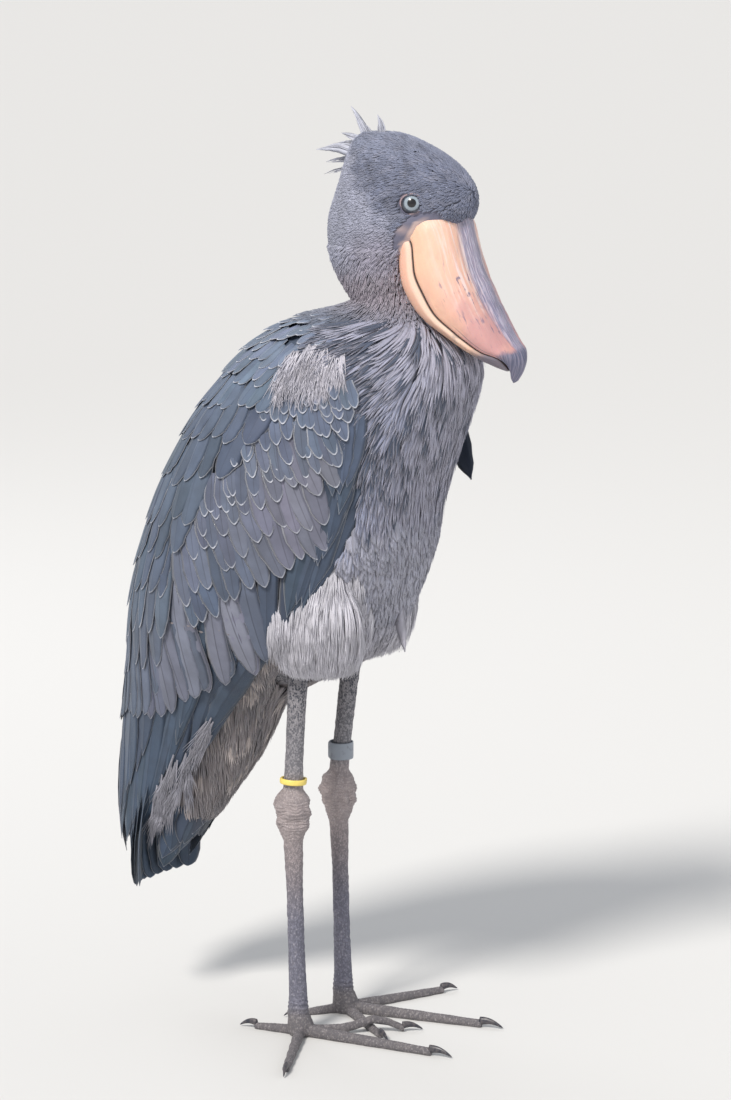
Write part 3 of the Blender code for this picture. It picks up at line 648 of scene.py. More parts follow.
def skin_body():
    body = new_object("skin", *loft_arrays(skin_rings()))
    for side in (-1, 1):
        union(body, new_object("thigh_core", *loft_arrays(thigh_rings(side))))
    for name in ("right", "left"):
        leg = leg_shape(name)
        points, normals = mesh_arrays(leg.data)
        points += normals * leg_relief(points, normals)[:, None]
        move_points(leg.data, points)
        union(body, leg)
    points, normals = mesh_arrays(body.data)
    reach = np.linalg.norm(from_eye(points), axis=1)
    hollow = EYE_HOLLOW * ramp(reach, EYE_HOLLOW_RADIUS, 0.012)
    points -= normals * hollow[:, None]
    move_points(body.data, points)
    return body


def is_leg(points):
    """1 on the bare legs and feet."""
    height = points[:, 2]
    reach = np.where(height < ANKLE_TOP, ANKLE_REACH, SHIN_REACH)
    near = np.hypot(np.abs(points[:, 0]) - LEG_X, points[:, 1] - LEG_MIDDLE_Y) < reach
    return (height < LEG_TOP) & ((height < TARSUS_TOP) | near)


# Colours that skin and coat share

def head_tint(points):
    """Dark slate crown and eye region, pale nape and cheek, mauve lower cheek and warm grey neck."""
    angle = degrees_round(points)
    height = points[:, 2]
    limit = np.interp(height, (0.895, 0.9137, 0.9306, 0.9517, 0.9868, 1.0), (58, 72, 83, 106, 122, 150))
    limit = limit + 6 * ripple(points, 0.018, SEED + 11)
    dark = ramp(angle, limit + 14, limit - 10) * ramp(height, 0.885, 0.905)
    # Painted highlight: the top of the crown is made a lighter slate, as if lit from above.
    crown_top_painted_highlight = ramp(height, 0.965, 1.0)
    mottle = ripple(points, 0.012, SEED + 12)
    slate = blend((0.170, 0.190, 0.275), (0.230, 0.255, 0.350), crown_top_painted_highlight)
    slate = blend(slate, (0.30, 0.31, 0.40), 0.45 * ramp(mottle, 0.1, 1.0))
    slate = blend(slate, (0.09, 0.10, 0.15), 0.55 * ramp(ripple(points, 0.018, SEED + 13), 0.3, 1.2))
    cheek = ramp(height, 0.925, 0.875) * ramp(angle, 130, 80)
    pale = blend((0.355, 0.370, 0.470), (0.29, 0.275, 0.35), cheek)
    tint = blend(pale, slate, dark)
    neck = ramp(height, 0.872, 0.852)
    tint = blend(tint, (0.33, 0.29, 0.34), neck)
    apart = from_eye(points)
    behind = np.exp(-(((apart[:, 1] - 0.019) / 0.008) ** 2 + ((apart[:, 2] - 0.004) / 0.0035) ** 2))
    near = np.exp(-((np.linalg.norm(apart, axis=1) / 0.021) ** 4))
    tint = blend(tint, (0.105, 0.115, 0.170), 0.55 * near)
    return blend(tint, (0.05, 0.06, 0.10), 0.75 * np.clip(behind, 0, 1))


def body_tint(points):
    """Slate back, lavender breast, beige-lilac belly and pale flanks."""
    angle = degrees_round(points)
    height = points[:, 2]
    front = blend((0.30, 0.31, 0.40), (0.20, 0.22, 0.31), ramp(height, 0.80, 0.72))
    front = blend(front, (0.26, 0.28, 0.37), ramp(height, 0.64, 0.56))
    front = blend(front, (0.25, 0.235, 0.27), ramp(height, 0.52, 0.46))
    tint = blend(front, (0.10, 0.13, 0.19), ramp(angle, 70, 100) * ramp(height, 0.43, 0.47))
    under = ramp(height, 0.46, 0.42)
    tint = blend(tint, (0.24, 0.21, 0.215), under)
    return tint * (1 + 0.10 * ripple(points, 0.05, SEED + 15))[:, None]


def coat_tint(points):
    return blend(body_tint(points), head_tint(points), ramp(points[:, 2], 0.80, 0.84))


def gape_share(points):
    """1 on the bare pale patch at the corner of the mouth."""
    apart = np.abs(points) - (0.0520, 0.1310, 0.9060)
    return np.exp(-((apart[:, 1] / 0.0075) ** 2 + (apart[:, 2] / 0.0045) ** 2))


def skin_attributes(points, bill):
    """Colour of the skin, and its speckle, wrinkle and gloss."""
    height = points[:, 2]
    leg = is_leg(points).astype(float)
    tint = coat_tint(points) * 0.6
    bill_near = np.full(len(points), 1.0)
    head = np.flatnonzero(height > 0.84)
    bill_near[head] = bill.height_over(points[head])
    bare = ramp(bill_near, 0.016, 0.009) * (height > 0.862)
    tint = blend(tint, (0.150, 0.150, 0.210), bare)
    angle = degrees_round(points)
    lip = ramp(bill_near, 0.0036, 0.0016) * ramp(angle, 46, 56) * (height > 0.872)
    folds = 0.5 + 0.5 * np.sin(bill_near * 2 * math.pi / 0.0026)
    cream = blend((0.62, 0.46, 0.42), (0.36, 0.27, 0.28), 0.6 * folds)
    tint = blend(tint, cream, np.clip(lip + 0.55 * gape_share(points) * (height > 0.88), 0, 1))
    shin = blend(LEG_GREY, LEG_WARM, ramp(height, 0.31, 0.275))
    ankle = blend(shin, (0.33, 0.285, 0.29), ramp(height, 0.235, 0.205))
    tarsus = blend(ankle, LEG_DARK, ramp(height, 0.21, 0.12))
    foot = blend(tarsus, (0.20, 0.185, 0.19), ramp(height, 0.04, 0.02))
    tint = blend(tint, foot, leg)
    speckle = leg * (0.42 + 0.10 * ramp(height, 0.275, 0.30) + 0.40 * ramp(height, 0.31, 0.40))
    speckle = np.clip(speckle - 0.34 * np.exp(-(((height - ANKLE_Z) / 0.03) ** 2)), 0, 1)
    look = np.stack([speckle, leg, bare], axis=1)
    return np.hstack([tint, np.ones((len(points), 1))]), look


# Eyes

def eye_axes(side):
    """Centre of an eye, the way it looks, and two directions across."""
    centre = np.array((side * EYE_X, -EYE_FRONT, EYE_Z))
    gaze = unit(np.array(GAZE) * (side, 1, 1))
    up = unit(np.array((0, 0, 1.0)) - gaze * gaze[2])
    return centre, gaze, up, np.cross(gaze, up)


def make_eye(side, material):
    """A ball turned to its gaze, with a cornea that stands a little proud."""
    centre, gaze, up, across = eye_axes(side)
    rows = np.concatenate([np.linspace(0.004, 0.9, 34), np.linspace(0.95, math.pi - 0.01, 26)])
    turns = full_turn(72)
    bulge = 0.0007 * np.clip(1 - (EYE_RADIUS * np.sin(rows) / 0.0100) ** 2, 0, 1) * (rows < 1.2)
    rings = []
    for row, rise in zip(rows, bulge):
        out = np.cos(turns)[:, None] * across + np.sin(turns)[:, None] * up
        rings.append(centre + (EYE_RADIUS + rise) * (gaze * math.cos(row) + out * math.sin(row)))
    points, faces = loft_arrays(rings)
    local = points - centre
    depth = local @ gaze
    radius = np.linalg.norm(local - depth[:, None] * gaze, axis=1)
    radius = np.where(depth > 0, radius, 2 * EYE_RADIUS - radius)
    turn = np.arctan2(local @ up, local @ across)
    name = "left" if side > 0 else "right"
    facts = np.stack([radius, np.cos(turn), np.sin(turn)], axis=1)
    obj = new_object(f"eyeball_{name}", points, faces, {"gaze": facts})
    return finish_piece(obj, material, (f"eye_{name}",))


# Distance outside the eye's opening, height above the skin, and share of the pale ring's colour
LID_ROWS = (
    (0.0002, -0.0012, 0.0), (0.0000, 0.0006, 0.0), (0.0005, 0.0014, 0.0), (0.0011, 0.0016, 0.15),
    (0.0018, 0.0012, 0.9), (0.0026, 0.0014, 1.0), (0.0034, 0.0009, 0.5), (0.0046, 0.0005, 0.1),
    (0.0060, -0.0002, 0.0), (0.0072, -0.0012, 0.0),
)
OPENING = (0.0094, 0.0078, 0.0084)
LID_CORNER = 0.0014


def make_lids(side, skin_form):
    """Folded rims round one eye, drawn out at its corners: points, faces, colours."""
    centre, gaze, up, across = eye_axes(side)
    turns = full_turn(96)
    out = np.cos(turns)[:, None] * across + np.sin(turns)[:, None] * up
    high = np.where(np.sin(turns) > 0, OPENING[1], OPENING[2])
    opening = 1 / np.hypot(np.cos(turns) / OPENING[0], np.sin(turns) / high)
    corner = LID_CORNER * np.abs(np.cos(turns)) ** 10
    brow = 0.0008 * np.clip(np.sin(turns), 0, 1)
    rings, shares, outers = [], [], []
    for row, (offset, rise, share) in enumerate(LID_ROWS):
        radius = opening + offset + corner * min(1.0, offset / 0.0010) * (offset < 0.004)
        if row < 2:
            depth = np.sqrt(np.maximum(EYE_RADIUS**2 - radius**2, 0)) + rise + brow * row
            ring = centre + out * radius[:, None] + gaze * depth[:, None]
        else:
            start = centre + gaze * (EYE_RADIUS - 0.001) + out * radius[:, None]
            places, normals = skin_form.nearest(start)
            wobble = 0.00016 * np.sin(turns * 23 + row * 1.9) * (0.001 < offset < 0.005)
            ring = places + normals * (rise + brow + wobble)[:, None]
        rings.append(ring)
        shares.append(np.full(len(turns), share))
        outers.append(np.full(len(turns), offset))
    points, faces = loft_arrays(rings)
    share, outer = np.concatenate(shares), np.concatenate(outers)
    dots = 0.5 + 0.5 * np.sin(np.tile(turns, len(LID_ROWS)) * 31)
    pale = blend((0.40, 0.30, 0.32), (0.20, 0.16, 0.19), dots * 0.7)
    tint = blend((0.035, 0.038, 0.055), pale, share)
    tint = blend(tint, (0.13, 0.13, 0.19), ramp(outer, 0.0032, 0.0046))
    return points, faces[:1], tint


# Bill

def bill_points(along, rise, sideways):
    """From the bill's own frame to the design frame."""
    run = np.array((0, -math.cos(BILL_SLOPE), math.sin(BILL_SLOPE)))
    lift = np.array((0, math.sin(BILL_SLOPE), math.cos(BILL_SLOPE)))
    base = sideways[..., None] * np.array((1.0, 0, 0)) + np.array((0, -BILL_FRONT, BILL_Z))
    return base + along[..., None] * run + rise[..., None] * lift


def smooth_section(section, count):
    """A finer, rounded course through a section's points, evenly spaced by distance."""
    section = np.asarray(section, float)
    steps = np.concatenate([[0], np.cumsum(np.linalg.norm(np.diff(section, axis=0), axis=1))])
    rows = np.column_stack([steps / steps[-1], section])
    return smooth_table([tuple(row) for row in rows], np.linspace(0, 1, count))


def upper_section(ridge, edge, half_width):
    depth = ridge - edge
    keel = min(0.0055, 0.22 * half_width)
    return [
        (0.0, ridge),
        (keel, ridge - 0.02 * depth),
        (2.0 * keel, ridge - 0.11 * depth),
        (0.66 * half_width, ridge - 0.22 * depth),
        (0.90 * half_width, ridge - 0.42 * depth),
        (1.00 * half_width, ridge - 0.66 * depth),
        (0.985 * half_width, ridge - 0.86 * depth),
        (0.94 * half_width, edge),
    ]


def lower_section(edge, under, half_width):
    depth = edge - under
    return [
        (0.93 * half_width, edge),
        (0.96 * half_width, edge - 0.30 * depth),
        (0.83 * half_width, edge - 0.68 * depth),
        (0.50 * half_width, edge - 0.92 * depth),
        (0.0, under),
    ]


def make_upper_bill(material):
    """The horny upper bill: keeled ridge with grooves beside it, swollen flanks and hooked nail."""
    table = [(s, ridge, edge, w) for s, ridge, edge, _, w in BILL_STATIONS] + list(BILL_HOOK)
    stations = np.concatenate([np.linspace(-0.016, 0.148, 84), np.linspace(0.1495, 0.1775, 26)])
    values = smooth_table(table, stations)
    count = 40
    rings, facts = [], []
    for along, (ridge, edge, width) in zip(stations, values):
        half = smooth_section(upper_section(ridge, edge, width), count)
        share = np.linspace(0, 1, count)
        fade = min(1.0, width / 0.03) * float(ramp(along, -0.016, 0.02))
        groove = np.exp(-(((share - 0.20) / 0.035) ** 2)) * 0.0011 * fade
        lip = np.exp(-(((share - 0.955) / 0.03) ** 2)) * 0.0005 - ramp(share, 0.98, 1.0) * 0.0005
        nail = 0.0007 * float(ramp(along, 0.143, 0.149)) * float(ramp(along, 0.160, 0.151))
        x = half[:, 0] * (1 + (lip * fade + nail) / max(width, 0.004))
        y = half[:, 1] - groove + nail * (1 - share)
        ring_x = np.concatenate([x, -x[:0:-1]])
        ring_y = np.concatenate([y, y[:0:-1]])
        ring_share = np.concatenate([share, share[:0:-1]])
        rings.append(bill_points(np.full(len(ring_x), along), ring_y, ring_x))
        hand = np.where(ring_x > 0, 1.0, -1.0)
        down = hand * ring_share * (ridge - edge + width)
        facts.append(np.stack([np.full(len(ring_x), along), ring_share, down], axis=1))
    points, faces = loft_arrays(rings)
    facts = np.concatenate(facts)
    relief = 0.00035 * ripple(points, 0.030, SEED + 21) + 0.00016 * ripple(points, 0.009, SEED + 22)
    centre = bill_points(facts[:, 0], np.zeros(len(facts)), np.zeros(len(facts)))
    points = points + unit(points - centre) * (relief * ramp(facts[:, 1], 1.0, 0.9))[:, None]
    obj = new_object("bill_upper_horn", points, faces, {"bill": facts})
    return finish_piece(obj, material, ("bill_upper",))


def make_lower_bill(material):
    """The lower jaw, whose edge tucks in under the upper one."""
    table = [(s, edge, under, w) for s, _, edge, under, w in BILL_STATIONS] + list(LOWER_JAW_TIP)
    stations = np.concatenate([np.linspace(-0.016, 0.148, 78), np.linspace(0.150, 0.164, 14)])
    values = smooth_table(table, stations)
    count = 30
    rings, facts = [], []
    for along, (edge, under, width) in zip(stations, values):
        half = smooth_section(lower_section(edge - JAW_GAP, under, width), count)
        share = np.linspace(0, 1, count)
        lip = np.exp(-(((share - 0.10) / 0.05) ** 2)) * 0.0005 - ramp(share, 0.04, 0.0) * 0.0008
        x = half[:, 0] * (1 + lip / max(width, 0.004))
        y = half[:, 1]
        ring_x = np.concatenate([x, -x[-2::-1]])
        ring_y = np.concatenate([y, y[-2::-1]])
        ring_share = np.concatenate([share, share[-2::-1]])
        rings.append(bill_points(np.full(len(ring_x), along), ring_y, ring_x))
        down = ring_share * (edge - under)
        facts.append(np.stack([np.full(len(ring_x), along), ring_share, down], axis=1))
    points, faces = loft_arrays(rings)
    facts = np.concatenate(facts)
    relief = 0.00030 * ripple(points, 0.026, SEED + 23) + 0.00012 * ripple(points, 0.008, SEED + 24)
    points = points + np.array((0, 0, -1.0)) * (relief * ramp(facts[:, 1], 0.0, 0.2))[:, None]
    obj = new_object("bill_lower_horn", points, faces, {"bill": facts})
    return finish_piece(obj, material, ("bill_lower",))


# Claws and leg rings

def claw_rings(name, toe):
    label, heading, length, toe_half = toe
    angle = math.radians(heading)
    forward = np.array((math.sin(angle), -math.cos(angle), 0))
    across = np.array((math.cos(angle), math.sin(angle), 0))
    root = np.array((FOOT_X[name], -HUB_FRONT, 0))
    turns = full_turn(20)
    rings = []
    for share in np.linspace(0, 1, 22) ** 0.85:
        half = 0.62 * toe_half * (1 - share) ** 0.7 + 0.0004
        rise = 0.0068 + 0.0022 * math.sin(math.pi * share) - 0.0046 * share**1.5
        centre = root + forward * (length - 0.002 + (CLAW_LENGTHS[label] + 0.002) * share) + (0, 0, rise)
        keel = 1 + 0.18 * np.clip(np.cos(turns), 0, 1) ** 6
        rings.append(centre + across * (0.76 * half * np.sin(turns))[:, None]
                     + np.array((0, 0, 1.0)) * (half * np.cos(turns) * keel)[:, None])
    return np.array(rings)


def make_claws(name, material):
    points, groups, count = [], [], 0
    for toe in TOES[name]:
        found, faces = loft_arrays(claw_rings(name, toe))
        points.append(found)
        groups.extend([face + count for face in faces])
        count += len(found)
    obj = new_object(f"claws_{name}", np.concatenate(points), groups)
    return finish_piece(obj, material, [f"claw_{name}_{toe[0]}" for toe in TOES[name]])


def lathe(profile, steps=72):
    """Rings of a closed profile of radius and height, turned about the upright axis."""
    profile = np.asarray(profile, float)
    turns = full_turn(steps)
    sides = len(profile)
    points = np.stack([
        profile[None, :, 0] * np.cos(turns)[:, None], profile[None, :, 0] * np.sin(turns)[:, None],
        np.repeat(profile[None, :, 1], steps, axis=0),
    ], axis=-1).reshape(-1, 3)
    here = np.arange(steps)[:, None] * sides + np.arange(sides)[None]
    beside = np.arange(steps)[:, None] * sides + (np.arange(sides)[None] + 1) % sides
    ahead = (here + sides) % (steps * sides)
    ahead_beside = (beside + sides) % (steps * sides)
    return points, np.stack([here, beside, ahead_beside, ahead], axis=-1).reshape(-1, 4)


def rounded_profile(inner, wall, length, corner):
    """The section of a ring: a rectangle with well-rounded corners."""
    turns = full_turn(24)
    x, y = signed_power(np.cos(turns), corner), signed_power(np.sin(turns), corner)
    return np.column_stack([inner + wall / 2 + x * wall / 2, y * length / 2])


def block(size, place, turn):
    """A small rounded block as a closed surface."""
    turns = full_turn(16)
    rings = []
    for share in np.linspace(-1, 1, 9):
        scale = (1 - abs(share) ** 5) ** 0.35 if abs(share) < 1 else 0.25
        x = signed_power(np.cos(turns), BLOCK_CORNER) * size[0] / 2 * scale
        z = signed_power(np.sin(turns), BLOCK_CORNER) * size[2] / 2 * scale
        rings.append(np.stack([x, np.full(16, share * size[1] / 2), z], axis=1))
    points, faces = loft_arrays(rings)
    spin = np.array(Matrix.Rotation(turn, 3, "Z"))
    return (points + place) @ spin.T, faces


def make_leg_ring(spec, material):
    name, leg, height, inner, wall, length, tilt = spec
    if name == "ring_yellow":
        corner, clasp_turn, size = 0.75, math.radians(-30), (wall * 0.95, 0.0062, length)
    else:
        corner, clasp_turn, size = 0.4, math.radians(120), (wall * 0.9, 0.0070, length * 0.9)
    points, quads = lathe(rounded_profile(inner, wall * 0.62, length * 0.96, corner))
    groups = [quads[:, ::-1]]
    more, faces = block(size, (inner + wall * 0.42, 0, 0), clasp_turn)
    groups += [face + len(points) for face in faces]
    points = np.concatenate([points, more])
    place = Matrix.Rotation(tilt, 3, RING_TILT_AXIS)
    points = points @ np.array(place).T
    points += (math.copysign(LEG_X, FOOT_X[leg]), -shin_front(leg, height), height)
    obj = new_object(f"{name}_worn", points, groups)
    return finish_piece(obj, material, (name,))


# Feathers

PATCH_SIZE = 0.003
Section = namedtuple("Section", "across rise")
SMALL = Section(np.array((-1.0, 0.0, 1.0)), np.array((0.0, 1.0, 0.0)))
MEDIUM = Section(np.array((-1.0, 0.0, 1.0, 0.0)), np.array((0.0, 0.55, 0.0, -0.45)))
LARGE = Section(
    np.array((-1.0, -0.62, -0.055, 0.0, 0.055, 0.62, 1.0, 0.5, -0.5)),
    np.array((0.0, 0.5, 0.5, 1.25, 0.5, 0.5, 0.0, -0.5, -0.5)),
)


def round_profile(share):
    tip = np.clip(1 - (np.clip(share - 0.50, 0, 1) / 0.50) ** 2.1, 0, 1) ** 0.60
    return np.maximum((0.60 + 0.40 * ramp(share, 0, 0.45)) * tip, 0.03)


def flight_profile(share):
    tip = np.clip(1 - (np.clip(share - 0.74, 0, 1) / 0.26) ** 2.0, 0, 1) ** 0.58
    return np.maximum((0.5 + 0.5 * ramp(share, 0, 0.3)) * tip, 0.04)


def primary_profile(share):
    tip = np.clip(1 - (np.clip(share - 0.60, 0, 1) / 0.40) ** 1.7, 0, 1)
    return np.maximum((0.6 + 0.4 * ramp(share, 0, 0.3)) * tip, 0.05)


def plume_profile(share):
    return np.maximum(ramp(share, -0.12, 0.32) * np.clip(1 - share**2.0, 0, 1) ** 0.85, 0.05)


def tuft_profile(share):
    return np.maximum(ramp(share, -0.3, 0.25) * np.clip(1 - share**3.2, 0, 1) ** 0.7, 0.07)


def strand_profile(share):
    return np.maximum(ramp(share, -0.4, 0.15) * np.clip(1 - share, 0, 1) ** 0.65, 0.06)


Style = namedtuple("Style", "section profile shares camber thick rim_width rim_strength rim shaft")
ROUND_SHARES = np.array((0, 0.22, 0.42, 0.58, 0.70, 0.80, 0.88, 0.94, 0.98, 1.0))
FLIGHT_SHARES = np.array((0, 0.15, 0.3, 0.45, 0.6, 0.72, 0.82, 0.89, 0.94, 0.975, 1.0))
PLUME_SHARES = np.array((0, 0.25, 0.48, 0.68, 0.86, 1.0))
SHORT_SHARES = np.array((0, 0.42, 0.78, 1.0))
STYLES = {
    "covert": Style(LARGE, round_profile, ROUND_SHARES, 0.16, 0.0007, 0.0021, 0.90, PALE_EDGE, 0.40),
    "scapular": Style(LARGE, round_profile, ROUND_SHARES, 0.18, 0.0008, 0.0018, 0.78, PALE_EDGE, 0.15),
    "flight": Style(LARGE, flight_profile, FLIGHT_SHARES, 0.12, 0.0009, 0.0014, 0.45, PALE_EDGE, 0.50),
    "primary": Style(LARGE, primary_profile, FLIGHT_SHARES, 0.14, 0.0010, 0.0010, 0.25, PALE_EDGE, 0.30),
    "plume": Style(MEDIUM, plume_profile, PLUME_SHARES, 0.15, 0.0006, 0.0012, 0.60, LAVENDER, 0.10),
    "tuft": Style(MEDIUM, tuft_profile, PLUME_SHARES, 0.15, 0.0005, 0.0016, 0.45, GREY_DOWN, 0.0),
    "strand": Style(SMALL, strand_profile, PLUME_SHARES, 0.10, 0.0006, 0.0010, 0.25, WHITE_DOWN, 0.0),
    "plush": Style(SMALL, tuft_profile, SHORT_SHARES, 0.08, 0.0004, 0.0009, 0.15, FACE_DOWN, 0.0),
}


def descent(normals):
    """The steepest way down along the surface."""
    down = np.array((0, 0, -1.0))
    return unit(down - normals * (normals @ down)[:, None])


def leaning(points, normals, lean):
    """Down along the body, turned by a lean in radians towards the bird's front."""
    down = descent(normals)
    level = np.cross(down, normals) * np.where(points[:, :1] > 0, 1, -1)
    lean = np.broadcast_to(lean, len(points))[:, None]
    return unit(down * np.cos(lean) + level * np.sin(lean))


def march(form, starts, lengths, heading, steps, hang=0.0):
    """Paths that creep over a form from some points, or hang free by a share towards their ends."""
    points, normals = form.nearest(starts)
    path, ups = [points], [normals]
    for step in range(steps):
        along = heading(points, normals, step / steps)
        along = unit(along - normals * (along * normals).sum(axis=1, keepdims=True))
        free = hang * step / steps
        along = unit(along * (1 - free) + np.array((0, 0, -1.0)) * free)
        ahead = points + along * (lengths / steps)[:, None]
        places, found = form.nearest(ahead)
        outside = ((ahead - places) * found).sum(axis=1, keepdims=True) > 0
        share = np.where(outside, 1 - hang, 1.0)
        points = ahead + (places - ahead) * share
        normals = unit(normals * hang + found * (1 - hang)) if hang else found
        path.append(points)
        ups.append(normals)
    path, ups = np.stack(path, axis=1), np.stack(ups, axis=1)
    for _ in range(2):
        ups[:, 1:-1] = (ups[:, :-2] + 2 * ups[:, 1:-1] + ups[:, 2:]) / 4
        path[:, 1:-1] = (path[:, :-2] + 2 * path[:, 1:-1] + path[:, 2:]) / 4
    return path, unit(ups)


def resample(path, shares):
    """Paths read at other shares of their length."""
    place = np.asarray(shares) * (path.shape[1] - 1)
    low = np.minimum(place.astype(int), path.shape[1] - 2)
    part = (place - low)[None, :, None]
    return path[:, low] * (1 - part) + path[:, low + 1] * part


def fan_out(path, normals, number, spread, rng):
    """Parts each feather into slimmer ones that spread towards their tips."""
    side = unit(np.cross(np.gradient(path, axis=1), normals))
    shares = np.linspace(0, 1, path.shape[1])
    paths = []
    for place in np.linspace(-1, 1, number):
        reach = place * spread * rng.uniform(0.6, 1.2, len(path))
        parted = path + side * (reach[:, None] * shares[None] ** 1.1)[..., None]
        paths.append(resample(parted, shares * (1 - 0.10 * abs(place) - rng.uniform(0, 0.08))))
    return np.concatenate(paths), np.tile(normals, (number, 1, 1))


class Vanes:
    """Feathers gathered for one piece."""

    def __init__(self):
        self.points, self.groups, self.bake = [], [], []
        self.columns = {"tint": [], "edge": [], "vane": [], "look": []}
        self.count = 0

    def add(self, path, normals, half_widths, lifts, style, tints, tilts=0.0, strength=1.0, seed=0):
        """Lays a feather along each path. Path and normals are (n, steps, 3), lifts are at root and tip."""
        style = STYLES[style]
        section, shares = style.section, style.shares
        rng = np.random.default_rng(seed + 977)
        number, rings, sides = len(path), len(shares), len(section.across)
        base, ups = resample(path, shares), unit(resample(normals, shares))
        rise = lifts[0][:, None] + (lifts[1] - lifts[0])[:, None] * shares[None] ** 1.15
        centre = base + ups * rise[..., None]
        run = unit(np.gradient(centre, axis=1))
        side = unit(np.cross(run, ups))
        up = np.cross(side, run)
        turn = np.broadcast_to(tilts, number)[:, None, None]
        side, up = side * np.cos(turn) + up * np.sin(turn), up * np.cos(turn) - side * np.sin(turn)
        jag = 1 + 0.05 * rng.normal(size=(number, rings))
        half = half_widths[:, None] * style.profile(shares)[None] * jag
        thick = style.thick * (1 - 0.65 * shares)[None, :, None]
        across = section.across[None, None]
        out = half[..., None] * across
        high = thick * section.rise[None, None] - style.camber * half[..., None] * across**2
        points = centre[:, :, None] + side[:, :, None] * out[..., None] + up[:, :, None] * high[..., None]
        lengths = np.linalg.norm(np.diff(centre, axis=1), axis=2).sum(axis=1)
        along = shares[None, :, None] * lengths[:, None, None] + 0 * out
        from_tip = (1 - shares)[None, :, None] * lengths[:, None, None]
        rim = np.minimum((1 - np.abs(across)) * half[..., None], from_tip)
        vane = np.stack([np.broadcast_to(across, out.shape), along, rim], axis=-1)
        strength = np.broadcast_to(strength, number)
        rims = np.broadcast_to(np.asarray(style.rim), (number, 3))
        edge = np.concatenate([rims, (style.rim_strength * strength)[:, None]], axis=1)
        tint = np.concatenate([tints, np.ones((number, 1))], axis=1)
        chance = rng.uniform(size=number)
        look = np.stack([np.full(number, style.rim_width), np.full(number, style.shaft), chance], axis=1)
        corners = rings * sides
        for label, values in (("tint", tint), ("edge", edge), ("look", look)):
            self.columns[label].append(np.repeat(values, corners, axis=0))
        self.columns["vane"].append(vane.reshape(-1, 3))
        patch_up = PATCH_SIZE * (shares[None, :, None] - 0.5) + 0 * out
        local = np.stack([PATCH_SIZE / 2 * np.broadcast_to(across, out.shape), patch_up], axis=-1)
        self.bake.append((bake_place(base[:, 0])[:, None, None] + local).reshape(-1, 2))
        self.points.append(points.reshape(-1, 3))
        quads, caps = tube_faces(rings, sides)
        starts = self.count + np.arange(number)[:, None, None] * corners
        self.groups.append((quads + starts).reshape(-1, 4))
        self.groups.append((caps + starts).reshape(-1, sides))
        self.count += number * corners

    def build(self, name, material, replaced=()):
        columns = {label: np.concatenate(parts) for label, parts in self.columns.items()}
        points, bake = np.concatenate(self.points), np.concatenate(self.bake)
        obj = new_object(name, points, self.groups, columns, bake)
        return finish_piece(obj, material, replaced)


# Wing feathers. Tips are (degrees from the front, height) from the leading edge to the back. Lean is
# in degrees at both ends of the row, layer in millimetres, and front and back are the row's end colours
Row = namedtuple("Row", "tips count length half_width lean layer style front back strength")
LESSER, MEDIAN_TINT, BACK_SLATE = (0.108, 0.134, 0.198), (0.112, 0.130, 0.186), (0.076, 0.100, 0.152)
COVERT_ROWS = (
    Row(((60, 0.720), (75, 0.728), (96, 0.712)),
        13, 0.030, 0.0072, (16, 10), 1.2, "covert", LESSER, LESSER, 0.8),
    Row(((60, 0.704), (74, 0.715), (83, 0.713), (97, 0.690)),
        12, 0.036, 0.0082, (18, 10), 1.1, "covert", LESSER, LESSER, 1.0),
    Row(((57, 0.690), (70, 0.694), (80, 0.690), (91, 0.667), (99, 0.640)),
        13, 0.040, 0.0088, (20, 8), 1.0, "covert", LESSER, LESSER, 1.1),
    Row(((54, 0.672), (66, 0.672), (76, 0.662), (86, 0.644), (93, 0.618), (102, 0.585)),
        14, 0.043, 0.0092, (22, 6), 0.9, "covert", LESSER, MEDIAN_TINT, 1.1),
    Row(((53, 0.662), (64, 0.652), (76, 0.646), (86, 0.625), (92, 0.600), (99, 0.570)),
        13, 0.048, 0.0102, (22, 6), 0.8, "covert", MEDIAN_TINT, MEDIAN_TINT, 1.1),
    Row(((51, 0.640), (62, 0.631), (74, 0.627), (84, 0.608), (89, 0.585), (95, 0.560), (102, 0.535)),
        12, 0.062, 0.0122, (22, 8), 0.6, "covert", MAUVE, MEDIAN_TINT, 1.0),
    Row(((51, 0.600), (60, 0.586), (71, 0.588), (78, 0.571), (85, 0.552), (90, 0.527),
         (96, 0.503), (102, 0.488)),
        12, 0.085, 0.0145, (22, 10), 0.2, "covert", MAUVE, MEDIAN_TINT, 0.9),
    Row(((50, 0.572), (55, 0.558), (62, 0.553), (69, 0.530), (77, 0.522), (84, 0.504),
         (89, 0.482), (97, 0.462)),
        12, 0.105, 0.0152, (20, 10), -0.4, "covert", MAUVE, BACK_SLATE, 0.8),
)
